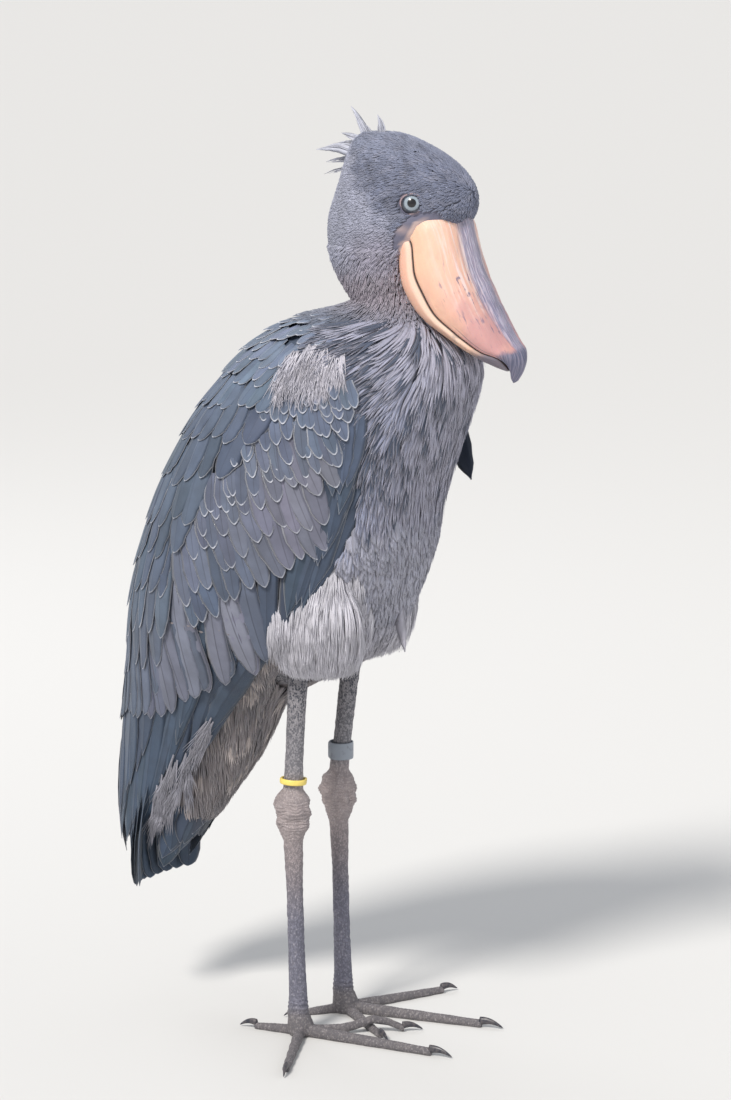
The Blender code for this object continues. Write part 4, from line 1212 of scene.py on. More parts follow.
SCAPULAR_ROWS = (
    Row(((88, 0.790), (120, 0.797), (176, 0.800)),
        15, 0.030, 0.0085, (-25, -5), 1.6, "scapular", (0.17, 0.205, 0.285), (0.15, 0.185, 0.26), 1.1),
    Row(((86, 0.775), (120, 0.780), (176, 0.783)),
        16, 0.034, 0.0092, (-25, -5), 1.7, "scapular", (0.165, 0.20, 0.28), (0.13, 0.165, 0.235), 1.1),
    Row(((96, 0.760), (120, 0.760), (176, 0.762)),
        14, 0.038, 0.0105, (-22, -5), 1.8, "scapular", (0.150, 0.19, 0.27), (0.12, 0.155, 0.22), 1.0),
    Row(((99, 0.740), (118, 0.738), (176, 0.735)),
        13, 0.044, 0.0120, (-22, -5), 2.0, "scapular", (0.125, 0.165, 0.24), (0.11, 0.145, 0.205), 1.0),
    Row(((95, 0.712), (110, 0.712), (130, 0.705), (175, 0.702)),
        12, 0.052, 0.0140, (-20, -5), 2.2, "scapular", (0.105, 0.145, 0.21), (0.10, 0.13, 0.19), 1.0),
    Row(((94, 0.682), (101, 0.676), (113, 0.675), (130, 0.670), (175, 0.660)),
        10, 0.066, 0.0165, (-16, -4), 2.3, "scapular", BACK_SLATE, (0.085, 0.115, 0.165), 1.0),
    Row(((97, 0.640), (105, 0.632), (116, 0.630), (130, 0.625), (174, 0.612)),
        9, 0.085, 0.0190, (-12, -4), 2.2, "scapular", BACK_SLATE, (0.085, 0.115, 0.165), 1.0),
    Row(((103, 0.590), (112, 0.583), (124, 0.585), (140, 0.570), (173, 0.560)),
        8, 0.100, 0.0200, (-10, -4), 1.9, "scapular", BACK_SLATE, (0.08, 0.11, 0.16), 0.9),
    Row(((107, 0.548), (117, 0.535), (128, 0.545), (146, 0.520), (173, 0.510)),
        7, 0.110, 0.0190, (-8, -4), 1.5, "scapular", BACK_SLATE, (0.075, 0.105, 0.155), 0.9),
    Row(((107, 0.500), (115, 0.492), (126, 0.500), (146, 0.475), (173, 0.465)),
        8, 0.120, 0.0165, (-7, -4), 1.0, "scapular", BACK_SLATE, (0.07, 0.10, 0.15), 0.9),
    Row(((106, 0.452), (114, 0.440), (124, 0.458), (146, 0.430), (173, 0.420)),
        8, 0.130, 0.0150, (-6, -4), 0.5, "scapular", (0.085, 0.11, 0.16), (0.065, 0.095, 0.145), 0.9),
    Row(((106, 0.412), (115, 0.405), (126, 0.402), (146, 0.385), (172, 0.375)),
        8, 0.150, 0.0145, (-6, -3), 0.0, "scapular", (0.09, 0.11, 0.155), (0.06, 0.09, 0.14), 0.8),
)
SECONDARY_ROWS = (
    Row(((57, 0.424), (63, 0.410), (68, 0.385), (75, 0.374), (84, 0.360), (95, 0.352),
         (107, 0.350), (120, 0.345), (140, 0.335), (168, 0.330)),
        19, 0.205, 0.0165, (9, -4), -1.4, "flight", (0.175, 0.18, 0.235), (0.065, 0.09, 0.14), 1.0),
    Row(((60, 0.438), (70, 0.405), (86, 0.385), (104, 0.380), (130, 0.370), (165, 0.360)),
        13, 0.20, 0.0160, (9, -4), -2.4, "flight", (0.10, 0.12, 0.17), (0.06, 0.085, 0.13), 0.8),
)


def edge_tips(heights, offset):
    """Tips that follow the wing's leading edge at some degrees behind it."""
    return tuple((float(wing_edge_angle(height)) + offset, height) for height in heights)


PRIMARY_ROWS = (
    Row(edge_tips((0.352, 0.325, 0.298, 0.270, 0.243, 0.218, 0.195, 0.176, 0.163), 2),
        12, 0.215, 0.0150, (-26, -16), -3.4, "primary", DARK_SLATE, DARK_SLATE, 1.0),
    Row(edge_tips((0.345, 0.315, 0.285, 0.255, 0.228, 0.200, 0.175), 20),
        10, 0.200, 0.0150, (-22, -12), -2.8, "primary", DARK_SLATE, DARK_SLATE, 1.0),
    Row(((104, 0.310), (115, 0.265), (130, 0.225), (150, 0.185), (172, 0.162)),
        10, 0.190, 0.0150, (-14, -3), -2.2, "primary", (0.055, 0.078, 0.122), DARK_SLATE, 1.2),
)
UNDER_ROWS = (
    Row(((6, 0.228), (24, 0.204), (44, 0.182), (60, 0.168)),
        7, 0.062, 0.0130, (-4, -16), -2.4, "primary", (0.060, 0.068, 0.090), DARK_SLATE, 1.6),
    Row(((5, 0.200), (30, 0.178), (52, 0.160)),
        5, 0.060, 0.0125, (-4, -14), -3.2, "primary", (0.055, 0.064, 0.088), DARK_SLATE, 1.6),
)
LEADING_ROWS = (
    Row(((56, 0.470), (57, 0.455), (58, 0.440), (61, 0.425)),
        5, 0.170, 0.0120, (-14, -10), -2.2, "primary", (0.045, 0.062, 0.098), (0.050, 0.070, 0.108), 1.2),
    Row(((52, 0.520), (55, 0.505), (58, 0.497), (62, 0.492)),
        6, 0.150, 0.0120, (-18, -14), -1.4, "primary", (0.048, 0.068, 0.108), (0.050, 0.072, 0.112), 1.4),
    Row(((48, 0.600), (51, 0.575), (54, 0.552), (57, 0.540)),
        6, 0.110, 0.0110, (-12, -8), -0.6, "primary", (0.055, 0.078, 0.122), (0.055, 0.076, 0.118), 1.4),
    Row(((50, 0.652), (52, 0.630), (54, 0.615)),
        4, 0.080, 0.0100, (-2, 2), 0.2, "primary", (0.070, 0.095, 0.145), (0.065, 0.088, 0.135), 1.3),
)


def row_tips(row, side, rng):
    """Where a row's tips lie, evenly spaced with a little jitter: angles in radians, heights, shares."""
    tips = np.array(row.tips, float)
    metres = np.column_stack([np.radians(tips[:, 0]) * 0.14, tips[:, 1]])
    steps = np.concatenate([[0], np.cumsum(np.linalg.norm(np.diff(metres, axis=0), axis=1))])
    share = (np.arange(row.count) + 0.5 + rng.uniform(-0.16, 0.16, row.count)) / row.count
    place = share * steps[-1]
    angles = np.interp(place, steps, tips[:, 0]) + rng.normal(0, 0.5, row.count)
    loose = 0.0060 if row.style in ("flight", "primary") else 0.0036
    heights = np.interp(place, steps, tips[:, 1]) + rng.normal(0, loose, row.count)
    return side * np.radians(angles), heights, share


def add_row(vanes, form, side, row, seed, tilt):
    """One row of overlapping feathers on one side, laid from their tips back to their roots."""
    rng = np.random.default_rng(seed)
    angles, heights, share = row_tips(row, side, rng)
    tips = surface(angles, heights)
    lean_here = np.radians(np.interp(share, (0, 1), row.lean) + rng.normal(0, 3.6, row.count))
    lengths = row.length * rng.uniform(0.95, 1.05, row.count)
    bend = np.radians(rng.normal(3.0, 1.5, row.count))

    def heading(points, normals, part):
        return -leaning(points, normals, lean_here - bend * part)

    path, ups = march(form, tips, lengths, heading, 9)
    path, ups = path[:, ::-1], ups[:, ::-1]
    size = rng.uniform(0.88, 1.10, row.count)
    tint = blend(row.front, row.back, ramp(share, 0.1, 0.75))
    tint = tint * rng.uniform(0.84, 1.16, (row.count, 1)) * rng.uniform(0.97, 1.03, (row.count, 3))
    low = (row.layer - 2.2) * 0.001 + rng.uniform(-0.0002, 0.0002, row.count)
    high = (row.layer + 1.2) * 0.001 + rng.uniform(-0.0004, 0.0009, row.count)
    tilts = side * np.radians(tilt * ramp(share, -0.10, 0.22) + rng.normal(0, 1.8, row.count))
    vanes.add(path, ups, row.half_width * size, (low, high), row.style, tint, tilts,
              row.strength * rng.uniform(0.7, 1.1, row.count), seed=seed)


def add_wisps(vanes, form, side, seed):
    """Loose grey down over the lower primaries."""
    rng = np.random.default_rng(seed)
    clumps, each = 15, 7
    clump_heights = rng.uniform(0.215, 0.350, clumps)
    behind = rng.uniform(-3, 22, clumps) * ramp(clump_heights, 0.35, 0.31)
    clump_angles = wing_edge_angle(clump_heights) + behind
    heights = np.repeat(clump_heights, each) + rng.normal(0, 0.005, clumps * each)
    angles = np.repeat(clump_angles, each) + rng.normal(0, 2.2, clumps * each)
    count = len(heights)
    starts = surface(side * np.radians(angles), heights)
    lean = np.radians(np.repeat(rng.normal(-20, 8, clumps), each) + rng.normal(0, 6, count))
    path, ups = march(form, starts, rng.uniform(0.025, 0.060, count),
                      lambda points, normals, part: leaning(points, normals, lean), 6)
    path, ups = fan_out(path, ups, 4, 0.005, rng)
    count = len(path)
    tint = np.array((0.225, 0.225, 0.270)) * rng.uniform(0.55, 1.3, (count, 1))
    half = rng.uniform(0.0007, 0.0013, count)
    lifts = (np.full(count, -0.0004), rng.uniform(0.0012, 0.0035, count))
    vanes.add(path, ups, half, lifts, "strand", tint, seed=seed)


def make_wing(side, form, material):
    """Coverts, scapulars, flight feathers and the leading edge of one folded wing."""
    name = "left" if side > 0 else "right"
    seed = SEED + (500 if side > 0 else 0)
    flights = Vanes()
    for index, row in enumerate(PRIMARY_ROWS + UNDER_ROWS + SECONDARY_ROWS + LEADING_ROWS):
        add_row(flights, form, side, row, seed + index, 4.0)
    add_wisps(flights, form, side, seed + 30)
    flights.build(f"wing_{name}_flight", material, (f"wing_{name}",))
    coverts = Vanes()
    for index, row in enumerate(COVERT_ROWS):
        add_row(coverts, form, side, row, seed + 40 + index, -7.0)
    for index, row in enumerate(SCAPULAR_ROWS):
        add_row(coverts, form, side, row, seed + 80 + index, 5.5)
    coverts.build(f"wing_{name}_coverts", material, ())


def make_tail(material):
    """Twelve tail feathers in a shallow roof, the middle ones on top."""
    vanes = Vanes()
    shares = np.linspace(1, 0, len(TAIL_STATIONS))
    rows = smooth_table(np.column_stack([shares, TAIL_STATIONS]), np.linspace(1, 0, 24))
    centres = np.stack([np.zeros(24), -rows[:, 0], rows[:, 1]], axis=1)
    run = unit(np.gradient(centres, axis=0))
    out = np.stack([np.zeros(24), -run[:, 2], run[:, 1]], axis=1)
    out *= np.sign(out[:, 1].mean())
    places = np.linspace(-1, 1, TAIL_FEATHERS)
    order = np.argsort(-np.abs(places))
    rng = np.random.default_rng(SEED + 31)
    for layer, index in enumerate(order):
        place = places[index]
        length = 1.0 - 0.10 * abs(place) ** 1.5 + rng.uniform(-0.012, 0.012)
        across = place * rows[:, 2] * 0.86
        drop = -TAIL_ARCH * rows[:, 2] * place**2 + 0.0004 * layer
        path = centres + np.array((1.0, 0, 0)) * across[:, None] + out * drop[:, None]
        shares = np.linspace(0, length, 12)
        path = resample(path[None], shares)
        up = unit(out + np.array((0.5 * place, 0, 0)))
        ups = unit(resample(up[None], shares))
        tint = np.array([DARK_SLATE]) * rng.uniform(0.85, 1.2)
        zero = np.zeros(1)
        vanes.add(path, ups, np.full(1, 0.0165), (zero, zero), "flight", tint,
                  strength=np.full(1, 0.8), seed=SEED + 60 + layer)
    vanes.build("tail_feathers", material, ("tail",))


# Coat of the head, neck, breast, belly, thighs and flanks

class Surface:
    """The skin as triangles to scatter roots on."""

    def __init__(self, points, faces):
        corners = points[faces]
        self.corners = corners
        normal = np.cross(corners[:, 1] - corners[:, 0], corners[:, 2] - corners[:, 0])
        self.areas = np.linalg.norm(normal, axis=1) / 2
        self.middles = corners.mean(axis=1)
        self.form = Form(points, faces.tolist())

    def scatter(self, inside, spacing, seed):
        """Roots about one spacing apart on the faces whose middles the test takes."""
        rng = np.random.default_rng(seed)
        chosen = np.flatnonzero(inside(self.middles))
        areas = self.areas[chosen]
        wanted = int(areas.sum() / spacing**2 * 3.2)
        drawn = np.searchsorted(np.cumsum(areas), rng.uniform(0, areas.sum(), wanted))
        face = chosen[drawn.clip(0, len(chosen) - 1)]
        parts = rng.uniform(size=(wanted, 2))
        flip = parts.sum(axis=1) > 1
        parts[flip] = 1 - parts[flip]
        corners = self.corners[face]
        points = corners[:, 0] + parts[:, :1] * (corners[:, 1] - corners[:, 0])
        points = points + parts[:, 1:] * (corners[:, 2] - corners[:, 0])
        cells = np.floor(points / spacing).astype(np.int64)
        _, first = np.unique(cells, axis=0, return_index=True)
        return points[np.sort(first)]


def head_heading(points, normals, part):
    """Back over the crown and cheeks, and down the nape and throat."""
    down = ramp(points[:, 2], 0.90, 0.84)
    flow = np.stack([np.zeros(len(points)), 1.0 - 0.75 * down, -0.38 - 0.9 * down], axis=1)
    return unit(flow - normals * (flow * normals).sum(axis=1, keepdims=True))


def breast_heading(points, normals, part):
    """Down, and at the shoulders swept back towards the wing."""
    angle = degrees_round(points)
    lean = 50 * ramp(angle, 8, 62) * ramp(points[:, 2], 0.60, 0.76) + 6 * ramp(angle, 20, 60)
    return leaning(points, normals, -np.radians(lean))


def down_heading(points, normals, part):
    return leaning(points, normals, np.zeros(len(points)))


# A kind of feather: its region, spacing of roots, size, lift at root and tip, lie and colour, its jitter in
# degrees, how many it parts into and how far, how free it hangs and the lowest height it may reach
Coat = namedtuple("Coat", "name inside spacing length half_width lift style heading tint jitter fan hang "
                          "lowest slot")


def eye_distance(points):
    """Distance from the nearer eye's gaze, drawn in along the eye's slit."""
    centre, gaze, up, across = eye_axes(1)
    apart = np.column_stack([np.abs(points[:, 0]), points[:, 1], points[:, 2]]) - centre
    near = (apart @ gaze) > 0
    return np.where(near, np.hypot((apart @ across) / 1.14, apart @ up), 1.0)


def on_crown(points):
    return (points[:, 2] > 0.935) & (eye_distance(points) > EYE_CLEAR)


def on_cheek(points):
    return (points[:, 2] > 0.868) & (points[:, 2] <= 0.935) & (eye_distance(points) > EYE_CLEAR)


def on_neck(points):
    return (points[:, 2] > 0.802) & (points[:, 2] <= 0.884)


SHOULDER_EDGE = ((0.690, 0.720, 0.746, 0.770, 0.792, 0.810), (54, 62, 70, 78, 84, 92))


def wing_side(points, margin):
    """True in front of the wing's leading edge, with a margin in degrees."""
    angle = degrees_round(points)
    limit = np.where(points[:, 2] > 0.69, np.interp(points[:, 2], *SHOULDER_EDGE) - 4 - margin,
                     wing_edge_angle(points[:, 2]))
    return angle < limit + margin


def on_breast(points):
    return (points[:, 2] > 0.585) & (points[:, 2] <= 0.806) & wing_side(points, -3)


def on_belly(points):
    return (points[:, 2] > 0.436) & (points[:, 2] <= 0.60) & wing_side(points, -3) & ~on_thigh(points)


def on_thigh(points):
    x = np.abs(points[:, 0])
    shift = np.where(points[:, 0] > 0, LEFT_THIGH_SHIFT[1], 0.0)
    front = -points[:, 1] + shift
    top = 0.562 - 0.75 * np.clip(0.078 - front, 0, 1) + 0.004 * ripple(points, 0.02, SEED + 47)
    return (points[:, 2] > 0.424) & (points[:, 2] < top) & (x > 0.040) & (front > 0.004) & (front < 0.096)


def on_flank(points):
    return (points[:, 2] > 0.225) & (points[:, 2] <= 0.47) & ~is_leg(points) & ~on_thigh(points)


def on_patch(points):
    angle = degrees_round(points)
    edge = 1 + 0.16 * ripple(points, 0.014, SEED + 48) + 0.10 * ripple(points, 0.035, SEED + 49)
    return np.hypot((angle - 90) / 15.5, (points[:, 2] - 0.760) / 0.0185) < edge


def breast_tint(points, rng):
    """Lilac plumes with slate ones mixed in, most of them beside the wing."""
    angle = degrees_round(points)
    height = points[:, 2]
    beside = np.exp(-(((angle - np.interp(height, (0.60, 0.70, 0.80), (38, 50, 66))) / 17) ** 2))
    dark = 0.18 + 0.72 * beside * ramp(height, 0.62, 0.68)
    chosen = rng.uniform(size=len(points)) < dark + 0.18 * ripple(points, 0.035, SEED + 41)
    light = blend(body_tint(points), (0.40, 0.385, 0.455), 0.55 * ramp(angle, 45, 15))
    return np.where(chosen[:, None], (0.070, 0.088, 0.135), light * 1.18)


def belly_tint(points, rng):
    dark = ramp(ripple(points, 0.03, SEED + 42), 0.1, 1.2)
    return blend(blend(body_tint(points), (0.42, 0.415, 0.485), 0.6), (0.17, 0.18, 0.225), 0.35 * dark)


def thigh_tint(points, rng):
    # Pale plumage whose whiteness is partly a painted sunlit highlight, darker towards the bottom.
    low = ramp(points[:, 2], 0.46, 0.42)
    tint = blend((0.64, 0.63, 0.69), (0.44, 0.43, 0.48), low * 0.6)
    return tint * (1 + 0.08 * ripple(points, 0.02, 5))[:, None]


def flank_tint(points, rng):
    cream = ramp(ripple(points * (1, 1, 0.25), 0.016, SEED + 44), 0.3, 1.1)
    dark = ramp(ripple(points, 0.03, 7), 0.0, 1.0) * 0.6
    return blend(blend((0.215, 0.19, 0.195), (0.12, 0.115, 0.13), dark), (0.46, 0.40, 0.38), cream)


def patch_tint(points, rng):
    share = ramp(ripple(points * (1, 1, 0.4), 0.012, SEED + 50), -0.6, 1.0)
    return blend((0.60, 0.585, 0.65), (0.34, 0.345, 0.42), 0.7 * share)


def plain_tint(points, rng):
    return coat_tint(points)


COATS = (
    Coat("crown_plumage", on_crown, 0.0020, 0.0088, 0.0016, (0.0010, 0.0025), "plush",
        head_heading, plain_tint, 5.0, (1, 0), 0.0, 0.0, "plumage"),
    Coat("cheek_plumage", on_cheek, 0.0020, 0.0090, 0.0016, (0.0010, 0.0026), "plush",
        head_heading, plain_tint, 5.0, (1, 0), 0.0, 0.0, "plumage"),
    Coat("neck_plumage", on_neck, 0.0032, 0.0180, 0.0018, (0.0026, 0.0054), "strand",
        head_heading, plain_tint, 8.0, (2, 0.0012), 0.0, 0.0, "plumage"),
    Coat("breast_plumage", on_breast, 0.0070, 0.056, 0.0036, (0.0040, 0.0086), "plume",
        breast_heading, breast_tint, 6.0, (3, 0.0044), 0.0, 0.0, "breast"),
    Coat("belly_plumage", on_belly, 0.0060, 0.034, 0.0048, (0.0056, 0.0088), "tuft",
        down_heading, belly_tint, 6.0, (3, 0.0050), 0.15, 0.424, "breast"),
    Coat("thigh_plumage", on_thigh, 0.0044, 0.062, 0.0016, (0.0030, 0.0080), "strand",
        down_heading, thigh_tint, 5.0, (3, 0.0026), 0.75, 0.416, "thigh"),
    Coat("flank_plumage", on_flank, 0.0084, 0.052, 0.0029, (0.0035, 0.0070), "strand",
        down_heading, flank_tint, 6.0, (3, 0.0034), 0.2, 0.205, "breast"),
    Coat("shoulder_down", on_patch, 0.0022, 0.026, 0.0010, (0.0064, 0.0106), "strand",
        down_heading, patch_tint, 11.0, (1, 0), 0.0, 0.0, "wing"),
)


def lay_coat(coat, skin, bill, material):
    """Scatters one kind of feather over its region and lays each along the lie of the coat."""
    seed = SEED + 100 + 10 * COATS.index(coat)
    rng = np.random.default_rng(seed)
    roots = skin.scatter(coat.inside, coat.spacing, seed + 1)
    bill_gap = np.full(len(roots), 1.0)
    near = np.flatnonzero(roots[:, 2] > BILL_LOWEST)
    bill_gap[near] = bill.height_over(roots[near])
    angle = degrees_round(roots)
    face = 0.0022 + 0.0058 * ramp(angle, 26, 44)
    gape = 0.004 * gape_share(roots) * (roots[:, 2] > 0.88)
    needed = np.where(roots[:, 2] > 0.885, face, 0.0012) + gape
    keep = bill_gap > needed
    roots, bill_gap = roots[keep], bill_gap[keep]
    count = len(roots)
    short = np.where(roots[:, 2] > 0.84, np.clip(0.45 + bill_gap / 0.035, 0.45, 1.0), 1.0)
    if coat.inside is on_neck:
        short = short * (0.5 + 0.5 * ramp(roots[:, 2], 0.885, 0.855))
    lengths = coat.length * rng.uniform(0.78, 1.18, count) * short
    room = (roots[:, 2] - coat.lowest) * rng.uniform(0.72, 1.15, count)
    lengths = np.minimum(lengths, np.maximum(room, 0.012))
    swing = np.radians(rng.normal(0, coat.jitter, count))

    def heading(points, normals, part):
        along = coat.heading(points, normals, part)
        beside = np.cross(normals, along)
        return along * np.cos(swing)[:, None] + beside * np.sin(swing)[:, None]

    path, ups = march(skin.form, roots, lengths, heading, 6 if coat.length > 0.02 else 3, coat.hang)
    ends = np.full(count, 1.0)
    check = np.flatnonzero(roots[:, 2] > BILL_LOWEST)
    tips, middles = path[check, -1], path[check, path.shape[1] // 2]
    ends[check] = np.minimum(bill.height_over(tips), bill.height_over(middles))
    keep = ends > 0.0010
    path, ups, roots, short = path[keep], ups[keep], roots[keep], short[keep]
    tint = coat.tint(roots, rng) * rng.uniform(0.93, 1.07, (len(roots), 1))
    if coat.fan[0] > 1:
        path, ups = fan_out(path, ups, *coat.fan, rng)
        tint = np.tile(tint, (coat.fan[0], 1))
        short = np.tile(short, coat.fan[0])
    count = len(path)
    low = coat.lift[0] * (0.6 + 0.4 * short)
    high = coat.lift[1] * rng.uniform(0.80, 1.10, count) * (0.6 + 0.4 * short)
    half = coat.half_width * rng.uniform(0.8, 1.2, count) * (0.6 + 0.4 * short)
    tilts = np.radians(rng.normal(0, 5.0, count))
    vanes = Vanes()
    vanes.add(path, ups, half, (low, high), coat.style, tint, tilts, rng.uniform(0.5, 1.1, count),
              seed=seed)
    return vanes.build(coat.name, material, ())


# The crest: base front and height, tip front and height, sideways, half-width
CREST_PLUMES = (
    (0.068, 0.990, 0.041, 1.0295, -0.004, 0.0056),
    (0.078, 0.996, 0.069, 1.0215, 0.004, 0.0040),
    (0.052, 0.984, 0.001, 0.9820, -0.010, 0.0058),
    (0.056, 0.988, 0.010, 0.9870, 0.010, 0.0048),
    (0.060, 0.992, 0.026, 1.0000, 0.001, 0.0046),
    (0.050, 0.976, 0.006, 0.9680, 0.002, 0.0036),
    (0.050, 0.970, 0.012, 0.9560, -0.012, 0.0034),
)
CREST_TINT = (0.54, 0.56, 0.65)


def make_crest(material):
    """Loose pointed plumes at the back of the crown, each a frayed vane with fine strands beside it."""
    rng = np.random.default_rng(SEED + 71)
    vanes = Vanes()
    shares = np.linspace(0, 1, 7)
    away = np.array((-0.85, -0.49, 0.19))
    for front, height, tip_front, tip_height, sideways, width in CREST_PLUMES:
        base = np.array((sideways * 0.5, -front, height - 0.008))
        tip = np.array((sideways, -tip_front, tip_height))
        run = unit(tip - base)
        across = unit(np.cross(run, away))
        count = 12
        ends = np.append(1.0, rng.uniform(0.55, 0.97, count - 1))
        place = np.append(0.0, rng.uniform(-1, 1, count - 1))
        depth = np.append(0.0, rng.normal(0, 0.5, count - 1))
        reach = np.linalg.norm(tip - base) * shares[None] * ends[:, None]
        path = base + run * reach[..., None]
        swell = width * np.sin(math.pi * np.clip(0.15 + 0.8 * shares, 0, 1))
        path = path + across * (place[:, None] * swell)[..., None]
        path = path + away * (depth[:, None] * swell * 0.5)[..., None]
        path = path + np.array((0, 0, 0.0045)) * np.sin(math.pi * shares)[None, :, None]
        ups = np.repeat(unit(away + rng.normal(0, 0.3, (count, 3)))[:, None], len(shares), axis=1)
        zero = np.zeros(count)
        tint = np.array(CREST_TINT) * rng.uniform(0.8, 1.1, (count, 1))
        half = np.append(width, np.full(count - 1, width * 0.30))
        vanes.add(path, ups, half, (zero, zero), "strand", tint, seed=SEED + 72)
    vanes.build("crest_plumes", material, ("crest",))


# Name, root, tip, half width, style, colour and slot of each loose feather
LOOSE_FEATHERS = (
    ("wrist_quill", (0.124, -0.088, 0.700), (0.121, -0.122, 0.612), 0.0150, "primary",
     (0.035, 0.045, 0.070), "wing"),
    ("belly_plume", (0.010, -0.088, 0.512), (0.004, -0.104, 0.437), 0.0075, "tuft",
     (0.55, 0.54, 0.61), "breast"),
)


def make_loose_feathers(material):
    """The dark quill at the bend of the left wing and the pale plume that hangs below the breast."""
    shares = np.linspace(0, 1, 8)
    for index, (name, root, tip, half, style, tint, slot) in enumerate(LOOSE_FEATHERS):
        path = (np.array(root) + (np.array(tip) - np.array(root)) * shares[:, None])[None]
        ups = np.tile(np.array((1.0, 0.05, 0.0)), (1, 8, 1))
        vanes = Vanes()
        zero = np.zeros(1)
        vanes.add(path, ups, np.full(1, half), (zero, zero), style, np.array([tint]),
                  seed=SEED + 75 + index)
        vanes.build(name, material, ())


# Materials

class Shader:
    """A node material written as short expressions."""

    def __init__(self, name):
        self.material = bpy.data.materials.new(name)
        self.material.use_nodes = True
        self.tree = self.material.node_tree
        self.main = self.tree.nodes["Principled BSDF"]

    def set(self, **values):
        for label, value in values.items():
            self.main.inputs[label.replace("_", " ")].default_value = value

    def link(self, output, label):
        self.tree.links.new(output, self.main.inputs[label])

    def node(self, kind, inputs=None, **settings):
        node = self.tree.nodes.new(kind)
        for label, value in settings.items():
            setattr(node, label, value)
        for label, value in (inputs or {}).items():
            if isinstance(value, bpy.types.NodeSocket):
                self.tree.links.new(value, node.inputs[label])
            else:
                node.inputs[label].default_value = value
        return node

    def attribute(self, name):
        return self.node("ShaderNodeAttribute", attribute_name=name)

    def split(self, vector):
        return self.node("ShaderNodeSeparateXYZ", {0: vector}).outputs

    def math(self, operation, first, second=0.0, third=0.0, clamp=False):
        return self.node("ShaderNodeMath", {0: first, 1: second, 2: third}, operation=operation,
                         use_clamp=clamp).outputs[0]

    def times(self, first, second, clamp=False):
        return self.math("MULTIPLY", first, second, clamp=clamp)

    def plus(self, first, second):
        return self.math("ADD", first, second)

    def minus(self, first, second, clamp=False):
        return self.math("SUBTRACT", first, second, clamp=clamp)

    def combine(self, first, second, third=0.0):
        return self.node("ShaderNodeCombineXYZ", {0: first, 1: second, 2: third}).outputs[0]

    def ramp(self, value, low, high, to_low=0.0, to_high=1.0):
        return self.node("ShaderNodeMapRange", {0: value, 1: low, 2: high, 3: to_low, 4: to_high},
                         interpolation_type="SMOOTHSTEP").outputs[0]

    def mix(self, share, first, second, blend_type="MIX"):
        node = self.tree.nodes.new("ShaderNodeMix")
        node.data_type = "RGBA"
        node.blend_type = blend_type
        for index, value in ((0, share), (6, first), (7, second)):
            if isinstance(value, bpy.types.NodeSocket):
                self.tree.links.new(value, node.inputs[index])
            elif index:
                node.inputs[index].default_value = (*value[:3], 1.0)
            else:
                node.inputs[index].default_value = value
        return node.outputs[2]

    def place(self, scale=(1, 1, 1)):
        position = self.node("ShaderNodeTexCoord").outputs["Object"]
        return self.node("ShaderNodeMapping", {"Vector": position, "Scale": scale}).outputs[0]

    def noise(self, vector, scale, detail=2.0, roughness=0.5):
        inputs = {"Vector": vector, "Scale": scale, "Detail": detail, "Roughness": roughness}
        return self.node("ShaderNodeTexNoise", inputs).outputs[0]

    def voronoi(self, vector, scale, feature="F1", output="Distance"):
        return self.node("ShaderNodeTexVoronoi", {"Vector": vector, "Scale": scale},
                         feature=feature).outputs[output]

    def bump(self, height, strength, distance, under=None):
        inputs = {"Height": height, "Strength": strength, "Distance": distance}
        if under is not None:
            inputs["Normal"] = under
        return self.node("ShaderNodeBump", inputs).outputs[0]


def feather_material():
    """Vanes with fine slanting barbs, a darker shaft and a pale worn rim."""
    shader = Shader("feather")
    tint, edge = shader.attribute("tint"), shader.attribute("edge")
    across, along, rim = shader.split(shader.attribute("vane").outputs["Vector"])
    rim_width, shaft_strength, _ = shader.split(shader.attribute("look").outputs["Vector"])
    place = shader.place()
    fray = shader.noise(place, 900.0, 2.0)
    rim_place = shader.plus(rim, shader.times(shader.minus(fray, 0.5), 0.0007))
    rim_share = shader.minus(1.0, shader.math("DIVIDE", rim_place, rim_width), clamp=True)
    rim_share = shader.times(shader.ramp(rim_share, 0.0, 0.7), edge.outputs["Alpha"], clamp=True)
    side = shader.math("ABSOLUTE", across)
    slant = shader.plus(along, shader.times(side, -0.0075))
    wander = shader.times(shader.noise(place, 220.0, 1.0), 0.0016)
    barb_place = shader.times(shader.plus(slant, wander), 2 * math.pi / 0.00105)
    barbs = shader.math("SINE", barb_place)
    cloud = shader.noise(place, 46.0, 3.0)
    shade = shader.ramp(cloud, 0.25, 0.75, 0.86, 1.14)
    shade = shader.math("MULTIPLY_ADD", barbs, 0.055, shade)
    colour = shader.mix(1.0, tint.outputs["Color"], shader.node("ShaderNodeCombineColor", {
        0: shade, 1: shade, 2: shade}).outputs[0], "MULTIPLY")
    shaft = shader.times(shader.ramp(side, 0.075, 0.02), shaft_strength)
    colour = shader.mix(shaft, colour, (0.025, 0.03, 0.045))
    colour = shader.mix(rim_share, colour, edge.outputs["Color"])
    shader.link(colour, "Base Color")
    shader.link(shader.ramp(cloud, 0.2, 0.8, 0.50, 0.66), "Roughness")
    shader.set(Sheen_Weight=0.12, Sheen_Roughness=0.45, Specular_IOR_Level=0.38)
    shader.link(shader.bump(barbs, 0.35, 0.00025), "Normal")
    return shader.material


